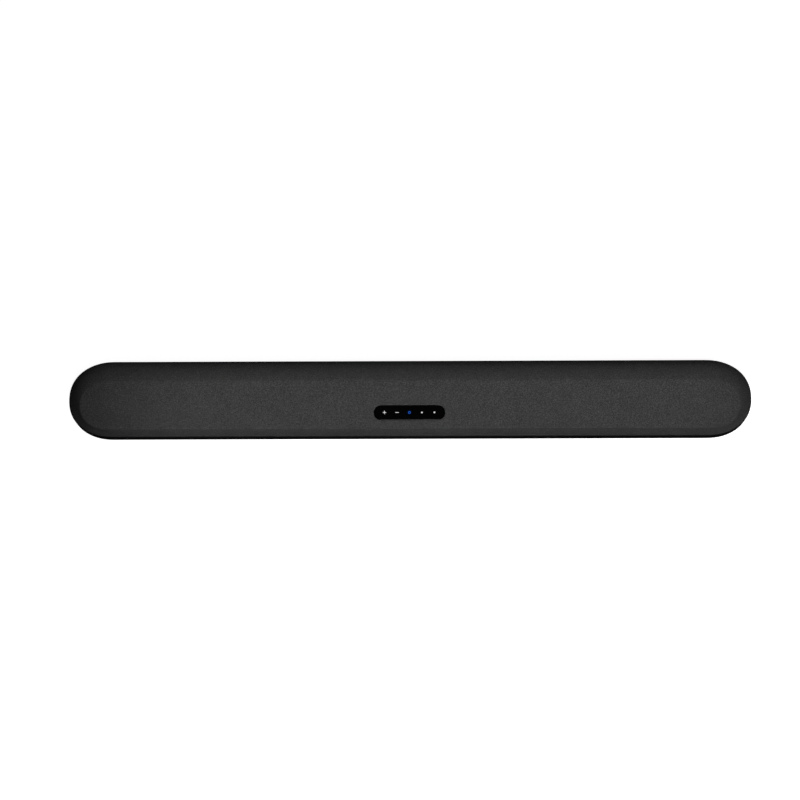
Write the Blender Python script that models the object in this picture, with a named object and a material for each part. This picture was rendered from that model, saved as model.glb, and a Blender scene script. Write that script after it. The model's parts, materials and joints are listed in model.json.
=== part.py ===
"""A slim soundbar that lies flat on its base: a black plastic base, a one-piece fabric-covered
grille, a touch panel set in the flat top, two speaker boxes and the electronics between them.

Metres, +X along the bar, -Y the listener's side (front), +Z up, the origin at the middle of the feet's
underside. Run it with: blender --background --python part.py
"""

import math

import bmesh
import bpy
from mathutils import Matrix

# ---------------------------------------------------------------- driving dimensions
LENGTH = 1.020
DEPTH = 0.1150
HEIGHT = 0.063
FOOT_HEIGHT = 0.0025  # how far the feet hold the base off the table
BASE_TOP = 0.0245  # the parting line between the plastic base and the grille
BASE_EDGE = 0.0018  # the rounding of the base's lower edge
COVER_STEP = 0.0004  # how far the fabric's side stands in from the base's

# The ends of the plan outline are half superellipses.
END_STRETCH = 1.17  # an end's length against half its width
END_POWER = 2.2  # 2 would be an ellipse, and more is squarer
ARC_STEPS = 12  # segments in each end

# How far the flat top stands in from the grille's lower edge, on each side.
FRONT_LEAN = 0.0042
REAR_ROLL = 0.0372
END_ROLL = 0.0215
FLATNESS = 0.75  # of the front and ends: 0 would round them as the rear is rounded, 1 makes flat slopes
ROLL_ANGLE = math.radians(66)  # the arc that the roll-off turns through before the crease

FABRIC = 0.0008
FRAME_WALL = 0.0020
BASE_WALL = 0.0024
FLOOR_TOP = 0.0050  # the inside of the base's floor
GAP = 0.0003  # between pieces that touch

PANEL_SIZE = (0.1052, 0.0220)  # the touch panel, a slot with round ends
PANEL_Y = -0.0290
PANEL_PROUD = 0.0002
PANEL_THICK = 0.0022
PANEL_EDGE = 0.0004
TOUCH_BOARD = (0.120, 0.036)
TOUCH_BOARD_Z = 0.0570

ICON_PITCH = 0.0184
ICON_THICK = 0.0006
PLUS_SIZE, PLUS_BAR = 0.0050, 0.0008
MINUS_SIZE, MINUS_BAR = 0.0050, 0.0009
RING_RADII = (0.0008, 0.0022)
LAMP_RADIUS = 0.0012

BOX_INNER_X, BOX_OUTER_X = 0.150, 0.448  # each speaker box's two ends
BOX_FRONT_Y, BOX_REAR_Y = -0.0430, 0.0455
BOX_TOP_Z, BOX_BOTTOM_Z = 0.0580, 0.0086
BOX_SLOPE_TOP_Y, BOX_SLOPE_LOW_Z = 0.0205, 0.0380  # its rear upper edge is cut off between these
BOX_WALL = 0.0025

DRIVER_Z = 0.0375
WOOFER_X, WOOFER_STRAIGHT = 0.3225, 0.025  # a racetrack woofer: its middle, half its straight sides
WOOFER_HOLE, TWEETER_HOLE, TOP_DRIVER_HOLE = 0.0179, 0.0157, 0.0256  # radii
TWEETER_X = 0.405
TOP_DRIVER_X, TOP_DRIVER_Y = 0.225, -0.0105
TOP_DRIVER_SCALE = 1.32  # the round driver's size against the woofer's

WINDOW_SLOT, WINDOW_PITCH = 0.0050, 0.0085  # the slots in the grille frame
FRONT_WINDOW_Z = (BASE_TOP + 0.0035, DRIVER_Z + 0.0150)
TOP_WINDOW_HALF = 0.0225

BAY_HALF = 0.118  # the connector bay at the back: half its width,
BAY_WALL_Y = 0.0235  # the inner side of its wall,
BAY_ROOF_Z = 0.0173  # and the underside of its roof
BAY_WALL = 0.0025
BAY_ROOF = 0.0020
BAY_FACE_Y = BAY_WALL_Y + BAY_WALL  # the side of its wall that the connector panel lies on

BOARD_Z = 0.0166  # the underside of the two circuit boards
BOARD_THICK = 0.0016
BOARD_TOP = BOARD_Z + BOARD_THICK
BOARD_Y = (-0.037, 0.0225)
MAIN_BOARD_X = (-0.114, 0.055)
POWER_BOARD_X = (0.063, 0.140)

# The sockets hang under the boards: middle, width, height, depth; then the hole's width, height, depth.
SOCKET_FACE_Y = BAY_FACE_Y + 0.0014
HDMI = (-0.040, 0.0152, 0.0064, 0.0125), (0.0140, 0.0048, 0.0095)
OPTICAL = (-0.066, 0.0100, 0.0098, 0.0120), (0.0078, 0.0078, 0.0070)
MAINS = (0.096, 0.0204, 0.0106, 0.0180), (0.0166, 0.0080, 0.0120)
MAINS_PIN_X, MAINS_PIN_RADIUS = 0.0043, 0.0012
CONNECTOR_PANEL = (-0.107, 0.112, 0.0036, 0.0170)  # from and to in X, from and to in Z
SOCKET_WINDOWS = ((-0.052, 0.026), (0.096, 0.0125))  # in the bay's wall: middle, half width

KEYHOLE_X = 0.470
KEYHOLE_HEAD, KEYHOLE_SLOT = 0.00475, 0.0024  # the mouth's radius and half the slot's width
KEYHOLE_HEAD_Y, KEYHOLE_END_Y = -0.006, 0.0095
KEYHOLE_PLATE = (0.021, 0.034, 0.0012)
KEYHOLE_SPACE = (0.0124, 0.026)
KEYHOLE_MIDDLE_Y = 0.0005

SCREW_X, SCREW_Y = 0.440, 0.0512
SCREW_SEAT_Z = BASE_TOP - 0.0045  # where a screw's head bears on its post
SCREW_HEAD, SCREW_SHANK = 0.0022, 0.0010  # radii
SCREW_HEAD_HEIGHT, SCREW_LENGTH = 0.0018, 0.0138
SCREW_POST, BOARD_POST = 0.0044, 0.0025  # radii
LUG_HALF, LUG_TOP, LUG_INNER_Y = 0.0042, BASE_TOP + 0.0090, 0.0473

FOOT_SIZE = (0.032, 0.010)
FOOT_RECESS = 0.0010  # how deep a foot is let into the base
FOOT_PLACES = [(x, y) for x in (-0.380, 0.380) for y in (-0.036, 0.036)]

VENT_COLUMNS = (-0.075, -0.010, 0.095)
VENT_ROWS, VENT_FIRST_Y, VENT_PITCH = 6, -0.034, 0.009
VENT_SIZE = (0.052, 0.0026)

# ---------------------------------------------------------------- materials
# name: (colour, roughness, metallic)
MATERIALS = {
    "charcoal_fabric": ((0.040, 0.040, 0.041), 0.95, 0.0),
    "base_plastic": ((0.009, 0.009, 0.010), 0.35, 0.0),
    "frame_plastic": ((0.020, 0.020, 0.021), 0.60, 0.0),
    "panel_gloss": ((0.003, 0.003, 0.003), 0.08, 0.0),
    "clear_plastic": ((0.80, 0.82, 0.84), 0.20, 0.0),
    "cabinet_plastic": ((0.030, 0.030, 0.032), 0.55, 0.0),
    "circuit_board": ((0.020, 0.130, 0.055), 0.45, 0.0),
    "steel": ((0.55, 0.56, 0.58), 0.35, 1.0),
    "black_steel": ((0.030, 0.030, 0.032), 0.40, 1.0),
    "aluminium": ((0.70, 0.71, 0.73), 0.35, 1.0),
    "ferrite": ((0.055, 0.052, 0.050), 0.60, 0.0),
    "cone_paper": ((0.035, 0.034, 0.033), 0.85, 0.0),
    "dome_silk": ((0.050, 0.045, 0.042), 0.80, 0.0),
    "soft_rubber": ((0.015, 0.015, 0.015), 0.80, 0.0),
    "ribbon_plastic": ((0.60, 0.60, 0.56), 0.50, 0.0),
    "capacitor_sleeve": ((0.02, 0.03, 0.09), 0.35, 0.0),
    "socket_plastic": ((0.012, 0.012, 0.013), 0.45, 0.0),
    "icon_white": ((0.60, 0.60, 0.60), 0.40, 0.0),
    "icon_blue": ((0.00, 0.07, 0.38), 0.40, 0.0),
}


def clear_scene():
    for obj in list(bpy.data.objects):
        bpy.data.objects.remove(obj)


def material(name):
    found = bpy.data.materials.get(name)
    if found:
        return found
    colour, roughness, metallic = MATERIALS[name]
    made = bpy.data.materials.new(name)
    made.use_nodes = True
    shader = made.node_tree.nodes["Principled BSDF"]
    shader.inputs["Base Color"].default_value = (*colour, 1.0)
    shader.inputs["Roughness"].default_value = roughness
    shader.inputs["Metallic"].default_value = metallic
    return made


# ---------------------------------------------------------------- making objects
def object_from(bm, name, finish=None, smooth=False):
    """Turns a bmesh into an object with its faces pointing out."""
    bmesh.ops.recalc_face_normals(bm, faces=bm.faces)
    mesh = bpy.data.meshes.new(name)
    bm.to_mesh(mesh)
    bm.free()
    obj = bpy.data.objects.new(name, mesh)
    bpy.context.scene.collection.objects.link(obj)
    if finish:
        mesh.materials.append(material(finish))
    if smooth:
        mesh.shade_smooth()
        mesh.set_sharp_from_angle(angle=math.radians(35))
    return obj


def helper(obj):
    """Marks a cutter or an added shape, which isn't a piece of its own."""
    obj.hide_render = True
    obj.display_type = "WIRE"
    return obj


def boolean(target, other, operation):
    modifier = target.modifiers.new(f"{operation.lower()}_{other.name}", "BOOLEAN")
    modifier.operation = operation
    modifier.solver = "EXACT"
    modifier.object = helper(other)


def cut(target, *cutters):
    for cutter in cutters:
        boolean(target, cutter, "DIFFERENCE")


def add(target, *shapes):
    for shape in shapes:
        boolean(target, shape, "UNION")


def loft(bm, rings, closed=False):
    """Skins rings of equally many points. The first and last are filled, or joined if closed."""
    rows = [[bm.verts.new(point) for point in ring] for ring in rings]
    pairs = list(zip(rows, rows[1:]))
    if closed:
        pairs.append((rows[-1], rows[0]))
    for low, high in pairs:
        for i in range(len(low)):
            j = (i + 1) % len(low)
            bm.faces.new((low[i], low[j], high[j], high[i]))
    if not closed:
        bm.faces.new(rows[0])
        bm.faces.new(rows[-1])


def lofted(name, rings, finish=None, smooth=False):
    bm = bmesh.new()
    loft(bm, rings)
    return object_from(bm, name, finish, smooth)


def round_ring(radius, height, straight, steps):
    """A ring of radius about +Z, split at its middle and drawn out by straight to each side along X."""
    ring = []
    for side in (1, -1):
        for i in range(steps + 1):
            angle = math.pi * (i / steps - 0.5)
            x = side * (straight + radius * math.cos(angle))
            ring.append((x, side * radius * math.sin(angle), height))
    return ring


def turned(name, profile, finish=None, straight=0.0, closed=False, steps=8):
    """A piece made by carrying (radius, height, share) points round +Z. Where share is 1 the round
    is a racetrack whose sides are straight for twice straight. A closed profile makes an open ring."""
    bm = bmesh.new()
    rings = [round_ring(r, h, straight * share, steps) for r, h, share in profile]
    loft(bm, rings, closed)
    bmesh.ops.remove_doubles(bm, verts=bm.verts, dist=1e-6)
    bmesh.ops.dissolve_degenerate(bm, edges=bm.edges, dist=1e-6)
    return object_from(bm, name, finish, smooth=True)


def box_into(bm, low, high):
    size = [b - a for a, b in zip(low, high)]
    middle = [(a + b) / 2 for a, b in zip(low, high)]
    matrix = Matrix.Translation(middle) @ Matrix.Diagonal((*size, 1.0))
    bmesh.ops.create_cube(bm, size=1.0, matrix=matrix)


def cylinder_into(bm, centre, radius, z_low, z_high, segments=12):
    matrix = Matrix.Translation((centre[0], centre[1], (z_low + z_high) / 2))
    bmesh.ops.create_cone(
        bm,
        cap_ends=True,
        segments=segments,
        radius1=radius,
        radius2=radius,
        depth=z_high - z_low,
        matrix=matrix,
    )


def boxes(name, corners, finish=None):
    """One object from boxes given as (lowest corner, highest corner)."""
    bm = bmesh.new()
    for low, high in corners:
        box_into(bm, low, high)
    return object_from(bm, name, finish)


def cylinders(name, places, radius, z_low, z_high, finish=None, segments=12):
    bm = bmesh.new()
    for place in places:
        cylinder_into(bm, place, radius, z_low, z_high, segments)
    return object_from(bm, name, finish)


def slot_outline(length, width, steps=8):
    """A slot with round ends about the origin, as (x, y) points."""
    radius, straight = width / 2, (length - width) / 2
    points = []
    for side in (1, -1):
        for i in range(steps + 1):
            angle = math.pi * (i / steps - 0.5)
            x = side * (straight + radius * math.cos(angle))
            points.append((x, side * radius * math.sin(angle)))
    return points


def slot_block(name, length, width, centre, z_low, z_high, finish=None, along_y=False, steps=8):
    outline = slot_outline(length, width, steps)
    if along_y:
        outline = [(-y, x) for x, y in outline]
    rings = [[(centre[0] + x, centre[1] + y, z) for x, y in outline] for z in (z_low, z_high)]
    return lofted(name, rings, finish)


def extruded_along_x(name, outline, x_low, x_high, finish=None):
    """A prism whose section is the outline's (y, z) points."""
    return lofted(name, [[(x, y, z) for y, z in outline] for x in (x_low, x_high)], finish)


# ---------------------------------------------------------------- the outer shape
def end_point(angle):
    """A point of a half superellipse, from (0, -1) through (1, 0) to (0, 1)."""
    power = 2 / END_POWER
    return abs(math.cos(angle)) ** power, math.copysign(abs(math.sin(angle)) ** power, angle)


def flat_share(share):
    """How far in the front and the ends have come where the rear has rolled share of its way in."""
    cosine = 1 - share * (1 - math.cos(ROLL_ANGLE))
    rise = math.sqrt(1 - cosine * cosine) / math.sin(ROLL_ANGLE)
    return share + FLATNESS * (rise - share)


def outline_ring(share, inset, z):
    """The plan outline where the roll-off has gone share of its way in, drawn in by inset."""
    front = -DEPTH / 2 + inset + FRONT_LEAN * flat_share(share)
    rear = DEPTH / 2 - inset - REAR_ROLL * share
    half_width, middle = (rear - front) / 2, (rear + front) / 2
    end_length = END_STRETCH * half_width
    straight = LENGTH / 2 - inset - END_ROLL * flat_share(share) - end_length
    ring = []
    for side in (1, -1):
        for i in range(ARC_STEPS + 1):
            along, across = end_point(math.pi * (i / ARC_STEPS - 0.5))
            x = side * (straight + end_length * along)
            ring.append((x, middle + side * half_width * across, z))
    return ring


def cover_rings(depth, z_bottom, levels=6):
    """The grille's surface at a depth under the fabric's face, from its lower edge to its flat top."""
    rings = []
    top = HEIGHT - depth
    for i in range(levels + 1):
        angle = ROLL_ANGLE * i / levels
        share = (1 - math.cos(angle)) / (1 - math.cos(ROLL_ANGLE))
        rise = math.sin(angle) / math.sin(ROLL_ANGLE)
        rings.append(outline_ring(share, COVER_STEP + depth, z_bottom + (top - z_bottom) * rise))
    return rings


def cover_shell(name, depth, wall, z_bottom, finish):
    outer = cover_rings(depth, z_bottom)
    inner = cover_rings(depth + wall, z_bottom)
    return lofted(name, outer[::-1] + inner, finish, smooth=True)


def window_row(middle, count, y_range, z_range):
    """The corners of a row of slots side by side along X."""
    half = WINDOW_SLOT / 2
    corners = []
    for i in range(count):
        x = middle + (i - (count - 1) / 2) * WINDOW_PITCH
        corners.append(((x - half, y_range[0], z_range[0]), (x + half, y_range[1], z_range[1])))
    return corners


def sound_windows():
    """Slots in the grille frame that let the sound out, in front of and above the drivers."""
    front = (-DEPTH / 2 - 0.01, -DEPTH / 2 + 0.01)
    top = (TOP_DRIVER_Y - TOP_WINDOW_HALF, TOP_DRIVER_Y + TOP_WINDOW_HALF)
    corners = []
    for side in (-1, 1):
        corners += window_row(side * WOOFER_X, 10, front, FRONT_WINDOW_Z)
        corners += window_row(side * TWEETER_X, 3, front, FRONT_WINDOW_Z)
        corners += window_row(side * TOP_DRIVER_X, 6, top, (HEIGHT - 0.01, HEIGHT + 0.01))
    return boxes("sound_windows", corners)


def screw_places():
    """Each case screw's name and where it stands."""
    places = {}
    for depth, y in (("front", -SCREW_Y), ("rear", SCREW_Y)):
        for across, x in (("left", -SCREW_X), ("right", SCREW_X)):
            places[f"{depth}_{across}"] = (x, y)
    return places


def screw_lugs(z_low):
    """Blocks inside the grille frame that the case screws bite into."""
    outer_y = DEPTH / 2 - COVER_STEP - FABRIC - GAP - 0.9 * FRAME_WALL
    lugs = []
    for x, y in screw_places().values():
        ends = sorted((math.copysign(LUG_INNER_Y, y), math.copysign(outer_y, y)))
        lugs.append(((x - LUG_HALF, ends[0], z_low), (x + LUG_HALF, ends[1], LUG_TOP)))
    return boxes("screw_lugs", lugs)


def make_cover():
    """The fabric skin, the grille frame under it, and the opening for the touch panel in both."""
    z_bottom = BASE_TOP + GAP
    skin = cover_shell("fabric_cover", 0.0, FABRIC, z_bottom, "charcoal_fabric")
    frame = cover_shell("grille_frame", FABRIC + GAP, FRAME_WALL, z_bottom, "frame_plastic")
    size = [side + 2 * GAP for side in PANEL_SIZE]
    opening = slot_block("panel_opening", *size, (0, PANEL_Y), HEIGHT - 0.012, HEIGHT + 0.006)
    cut(skin, opening)
    bosses = [(x, PANEL_Y + y) for x in (-0.055, 0.055) for y in (-0.0145, 0.0145)]
    under_top = HEIGHT - FABRIC - GAP - FRAME_WALL
    boss_foot = TOUCH_BOARD_Z + BOARD_THICK + GAP
    add(frame, screw_lugs(z_bottom + 0.0004))
    add(frame, cylinders("board_bosses", bosses, 0.0022, boss_foot, under_top + 0.001, segments=8))
    places = screw_places().values()
    bores = cylinders("lug_bores", places, SCREW_SHANK + 0.0004, SCREW_SEAT_Z, LUG_TOP - 0.0015, segments=10)
    cut(frame, opening, sound_windows(), bores)


# ---------------------------------------------------------------- the base
def base_rings():
    """The tub: outside from the rounded lower edge up, over the rim, and down to the floor inside."""
    rings = []
    for i in range(4):
        angle = math.pi / 2 * i / 3
        inset = BASE_EDGE * (1 - math.sin(angle)) + 0.0002
        rings.append(outline_ring(0, inset, FOOT_HEIGHT + BASE_EDGE * (1 - math.cos(angle))))
    rings.append(outline_ring(0, 0.0, BASE_TOP - 0.001))
    rings.append(outline_ring(0, 0.0004, BASE_TOP))
    rings.append(outline_ring(0, BASE_WALL, BASE_TOP))
    rings.append(outline_ring(0, BASE_WALL, FLOOR_TOP))
    return rings


def bay_walls():
    """The solid block that the connector bay is then cut out of."""
    low = (-BAY_HALF - BAY_WALL, BAY_WALL_Y, FLOOR_TOP - 0.0015)
    high = (BAY_HALF + BAY_WALL, DEPTH / 2 - BASE_WALL / 2, BAY_ROOF_Z + BAY_ROOF)
    return boxes("bay_walls", [(low, high)])


def vent_slots():
    half_x, half_y = VENT_SIZE[0] / 2, VENT_SIZE[1] / 2
    vents = []
    for x in VENT_COLUMNS:
        for i in range(VENT_ROWS):
            y = VENT_FIRST_Y + i * VENT_PITCH
            vents.append(((x - half_x, y - half_y, 0.0), (x + half_x, y + half_y, 0.008)))
    return boxes("vent_slots", vents)


def foot_recesses():
    length, width = [side + 2 * GAP for side in FOOT_SIZE]
    top = FOOT_HEIGHT + FOOT_RECESS
    return [
        slot_block(f"foot_recess_{i}", length, width, place, 0.0, top, steps=5)
        for i, place in enumerate(FOOT_PLACES)
    ]


def keyhole_spaces():
    half_x, half_y = KEYHOLE_SPACE[0] / 2, KEYHOLE_SPACE[1] / 2
    y = KEYHOLE_MIDDLE_Y
    corners = [
        ((x - half_x, y - half_y, 0.0), (x + half_x, y + half_y, 0.010)) for x in (-KEYHOLE_X, KEYHOLE_X)
    ]
    return boxes("keyhole_spaces", corners)


def base_cutters():
    bay = boxes("bay_space", [((-BAY_HALF, BAY_FACE_Y, -0.01), (BAY_HALF, DEPTH, BAY_ROOF_Z))])
    windows = boxes(
        "socket_windows",
        [
            ((x - half, BAY_WALL_Y - 0.003, 0.0054), (x + half, BAY_FACE_Y + 0.0015, 0.0168))
            for x, half in SOCKET_WINDOWS
        ],
    )
    places = screw_places().values()
    heads = cylinders("screw_heads", places, SCREW_HEAD + 0.0005, 0.0, SCREW_SEAT_Z)
    shank = SCREW_SHANK + 0.0004
    shanks = cylinders("screw_shanks", places, shank, SCREW_SEAT_Z - 0.005, BASE_TOP + 0.01, segments=10)
    return [bay, windows, heads, shanks, vent_slots(), *foot_recesses(), keyhole_spaces()]


def board_post_places():
    """Where the posts stand under the circuit boards' corners."""
    xs = (-0.108, 0.048, 0.070, 0.133)
    return [(x, y) for x in xs for y in (-0.031, 0.018)]


def make_feet():
    for x, y in FOOT_PLACES:
        where = ("front" if y < 0 else "rear") + ("_left" if x < 0 else "_right")
        top = FOOT_HEIGHT + FOOT_RECESS - GAP
        slot_block(f"foot_{where}", *FOOT_SIZE, (x, y), 0.0, top, "soft_rubber", steps=5)


def make_screws():
    """Pan-headed screws that come up from below, through their posts, into the frame's lugs."""
    profile = [
        (0.0, 0.0, 0),
        (SCREW_HEAD, 0.0, 0),
        (SCREW_HEAD, SCREW_HEAD_HEIGHT, 0),
        (SCREW_SHANK, SCREW_HEAD_HEIGHT, 0),
        (SCREW_SHANK, SCREW_LENGTH - 0.0008, 0),
        (0.0, SCREW_LENGTH, 0),
    ]
    for where, place in screw_places().items():
        screw = turned(f"case_screw_{where}", profile, "black_steel", steps=5)
        screw.location = (*place, SCREW_SEAT_Z - GAP - SCREW_HEAD_HEIGHT)


def make_keyhole_plates():
    """Steel plates on the base's floor that a wall screw's head hooks behind."""
    half_x, half_y, thick = KEYHOLE_PLATE[0] / 2, KEYHOLE_PLATE[1] / 2, KEYHOLE_PLATE[2]
    low, middle = FLOOR_TOP + GAP, KEYHOLE_MIDDLE_Y
    for side, x in (("left", -KEYHOLE_X), ("right", KEYHOLE_X)):
        corners = ((x - half_x, middle - half_y, low), (x + half_x, middle + half_y, low + thick))
        plate = boxes(f"keyhole_plate_{side}", [corners], "steel")
        head = cylinders(f"keyhole_head_{side}", [(x, KEYHOLE_HEAD_Y)], KEYHOLE_HEAD, 0.0, 0.010)
        slot_low = (x - KEYHOLE_SLOT, KEYHOLE_HEAD_Y, 0.0)
        slot_high = (x + KEYHOLE_SLOT, KEYHOLE_END_Y, 0.010)
        cut(plate, head, boxes(f"keyhole_slot_{side}", [(slot_low, slot_high)]))


def make_base():
    base = lofted("base_housing", base_rings(), "base_plastic", smooth=True)
    post_foot = FLOOR_TOP - 0.0012
    screws, boards = screw_places().values(), board_post_places()
    add(
        base,
        bay_walls(),
        cylinders("screw_posts", screws, SCREW_POST, post_foot, BASE_TOP - GAP),
        cylinders("board_posts", boards, BOARD_POST, post_foot, BOARD_Z - GAP, segments=8),
    )
    cut(base, *base_cutters())
    make_feet()
    make_screws()
    make_keyhole_plates()


# ---------------------------------------------------------------- the touch panel
def plus_mark(name, centre, z_low, z_high, grow=0.0):
    """Two crossed bars."""
    x, y = centre
    reach, half = PLUS_SIZE / 2 + grow, PLUS_BAR / 2 + grow
    bar = boxes(name, [((x - reach, y - half, z_low), (x + reach, y + half, z_high))])
    upright = boxes(f"{name}_upright", [((x - half, y - reach, z_low), (x + half, y + reach, z_high))])
    add(bar, upright)
    return bar


def minus_mark(name, centre, z_low, z_high, grow=0.0):
    x, y = centre
    reach, half = MINUS_SIZE / 2 + grow, MINUS_BAR / 2 + grow
    return boxes(name, [((x - reach, y - half, z_low), (x + reach, y + half, z_high))])


def ring_mark(name, centre, z_low, z_high, grow=0.0):
    inner, outer = RING_RADII[0] - grow, RING_RADII[1] + grow
    profile = [(outer, z_low, 0), (outer, z_high, 0), (inner, z_high, 0), (inner, z_low, 0)]
    ring = turned(name, profile, closed=True)
    ring.location = (*centre, 0.0)
    return ring


def lamp_mark(name, centre, z_low, z_high, grow=0.0):
    return cylinders(name, [centre], LAMP_RADIUS + grow, z_low, z_high, segments=16)


def make_icons(panel, top):
    """The five marks on the panel, let into its face: plus, minus, a lit ring and two small lamps."""
    icons = (
        ("plus_icon", plus_mark, "icon_white"),
        ("minus_icon", minus_mark, "icon_white"),
        ("ring_light", ring_mark, "icon_blue"),
        ("left_lamp", lamp_mark, "icon_white"),
        ("right_lamp", lamp_mark, "icon_white"),
    )
    for i, (name, shape, finish) in enumerate(icons):
        centre = ((i - 2) * ICON_PITCH, PANEL_Y)
        icon = shape(name, centre, top - ICON_THICK, top)
        icon.data.materials.append(material(finish))
        cut(panel, shape(f"{name}_pocket", centre, top - ICON_THICK - GAP, top + 0.001, grow=GAP))


def make_panel():
    length, width = PANEL_SIZE
    top = HEIGHT + PANEL_PROUD
    rings = []
    for inset, z in ((0, top - PANEL_THICK), (0, top - PANEL_EDGE), (PANEL_EDGE, top)):
        outline = slot_outline(length - 2 * inset, width - 2 * inset)
        rings.append([(x, PANEL_Y + y, z) for x, y in outline])
    panel = lofted("touch_panel", rings, "panel_gloss", smooth=True)
    make_icons(panel, top)


def make_touch_board():
    """The board under the panel, and the light guide that stands on it."""
    board_top = TOUCH_BOARD_Z + BOARD_THICK
    guide_low, guide_top = board_top + GAP, HEIGHT + PANEL_PROUD - PANEL_THICK - GAP
    slab = (0.094, 0.0120, (0, PANEL_Y), guide_low, guide_low + 0.0008)
    guide = slot_block("light_guide", *slab, "clear_plastic", steps=4)
    columns = [((i - 2) * ICON_PITCH, PANEL_Y) for i in range(5)]
    add(guide, cylinders("light_columns", columns, 0.0036, guide_low + 0.0004, guide_top, segments=8))
    half_x, half_y = TOUCH_BOARD[0] / 2, TOUCH_BOARD[1] / 2
    low, high = (-half_x, PANEL_Y - half_y, TOUCH_BOARD_Z), (half_x, PANEL_Y + half_y, board_top)
    boxes("touch_board", [(low, high)], "circuit_board")


def make_ribbon():
    """The flat cable that hangs from the touch board and plugs into the main board."""
    path = [
        (-0.0300, 0.0567),
        (-0.0300, 0.0500),
        (-0.0270, 0.0440),
        (-0.0200, 0.0380),
        (-0.0175, 0.0320),
        (-0.0175, 0.0185),
    ]
    thick = 0.0005
    outline = path + [(y + thick, z) for y, z in reversed(path)]
    extruded_along_x("touch_ribbon_cable", outline, -0.0110, 0.0010, "ribbon_plastic")


# ---------------------------------------------------------------- the speaker boxes
def box_section(wall=0.0, low_z=BOX_BOTTOM_Z):
    """The speaker box's outline in section, as (y, z) points, drawn in by a wall."""
    slope = wall * 0.42  # how far an equal wall moves the sloping side's two ends
    return [
        (BOX_FRONT_Y + wall, low_z),
        (BOX_FRONT_Y + wall, BOX_TOP_Z - wall),
        (BOX_SLOPE_TOP_Y - slope, BOX_TOP_Z - wall),
        (BOX_REAR_Y - wall, BOX_SLOPE_LOW_Z - slope),
        (BOX_REAR_Y - wall, low_z),
    ]


def front_hole(name, x, radius, straight):
    """A cutter through the speaker box's front wall."""
    profile = [(0.0, -0.006, 0), (radius, -0.006, 1), (radius, 0.006, 1), (0.0, 0.006, 0)]
    return placed(turned(name, profile, straight=straight), (x, BOX_FRONT_Y, DRIVER_Z), FACING_FRONT)


def make_speaker_box(name, side):
    low, high = sorted((side * BOX_INNER_X, side * BOX_OUTER_X))
    shell = extruded_along_x(f"{name}_speaker_box", box_section(), low, high, "cabinet_plastic")
    inside = box_section(BOX_WALL, low_z=0.0)
    top_hole = [(side * TOP_DRIVER_X, TOP_DRIVER_Y)], TOP_DRIVER_HOLE, BOX_TOP_Z - 0.008, BOX_TOP_Z + 0.004
    cut(
        shell,
        extruded_along_x(f"{name}_box_inside", inside, low + BOX_WALL, high - BOX_WALL),
        front_hole(f"{name}_woofer_hole", side * WOOFER_X, WOOFER_HOLE, WOOFER_STRAIGHT),
        front_hole(f"{name}_tweeter_hole", side * TWEETER_X, TWEETER_HOLE, 0.0),
        cylinders(f"{name}_top_hole", *top_hole, segments=16),
    )
    lid = ((low, BOX_FRONT_Y, FLOOR_TOP + GAP), (high, BOX_REAR_Y, BOX_BOTTOM_Z - GAP))
    boxes(f"{name}_box_lid", [lid], "cabinet_plastic")


# ---------------------------------------------------------------- the drivers
# Profiles of the 40 mm driver in millimetres: (radius, height, share of the racetrack's straight).
# Height 0 is the back face of the basket's flange, and the cone faces up.
BASKET = [
    (20.0, 0.0, 1),
    (20.0, 1.4, 1),
    (16.2, 1.4, 1),
    (16.2, -3.6, 1),
    (9.9, -11.4, 0),
    (9.9, -12.6, 0),
    (12.9, -12.6, 0),
    (17.5, -4.0, 1),
    (17.5, 0.0, 1),
]
MOTOR = [
    (0.0, -12.9, 0),
    (7.7, -12.9, 0),
    (7.7, -20.8, 0),
    (9.1, -20.8, 0),
    (9.1, -12.9, 0),
    (13.2, -12.9, 0),
    (14.4, -15.1, 0),
    (14.4, -22.1, 0),
    (13.2, -24.3, 0),
    (0.0, -24.3, 0),
]
CONE = [
    (0.0, -3.1, 0),
    (4.6, -3.7, 0),
    (8.4, -5.8, 0),
    (15.5, 0.9, 1),
    (15.5, 0.3, 1),
    (8.7, -6.6, 0),
    (8.7, -16.4, 0),
    (8.2, -16.4, 0),
    (8.2, -6.4, 0),
    (0.0, -3.9, 0),
]
SURROUND = [
    (19.0, 1.7, 1),
    (19.0, 2.3, 1),
    (18.3, 2.4, 1),
    (17.3, 3.1, 1),
    (16.3, 2.3, 1),
    (15.8, 1.3, 1),
    (15.8, 0.7, 1),
    (15.9, 1.7, 1),
    (17.3, 2.6, 1),
]
TWEETER_PLATE = [(13.3, 0.3, 0), (19.0, 0.3, 0), (19.0, 1.6, 0), (15.5, 2.3, 0), (13.3, 1.2, 0)]
TWEETER_MOTOR = [
    (0.0, -2.0, 0),
    (11.7, -2.0, 0),
    (11.7, -7.0, 0),
    (13.1, -7.0, 0),
    (13.1, -0.6, 0),
    (15.2, -0.6, 0),
    (15.2, -12.0, 0),
    (0.0, -12.0, 0),
]
TWEETER_DOME = [
    (0.0, 4.6, 0),
    (5.0, 4.0, 0),
    (9.2, 2.4, 0),
    (12.6, -0.2, 0),
    (12.6, -4.0, 0),
    (12.2, -4.0, 0),
    (12.2, -0.6, 0),
    (7.0, 2.6, 0),
    (0.0, 4.0, 0),
]
FACING_FRONT = (math.radians(90), 0, 0)
FACING_UP = (0, 0, 0)


def scaled(profile, scale):
    return [(r * scale / 1000, h * scale / 1000, share) for r, h, share in profile]


def placed(obj, at, turn):
    obj.location = at
    obj.rotation_euler = turn
    return obj


def make_driver(name, at, turn, pieces, scale=1.0, straight=0.0):
    """A driver's pieces about its axis, each (part, profile, finish, whether it's an open ring)."""
    for part, profile, finish, ring in pieces:
        obj = turned(f"{name}_{part}", scaled(profile, scale), finish, straight, closed=ring)
        placed(obj, at, turn)


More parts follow.
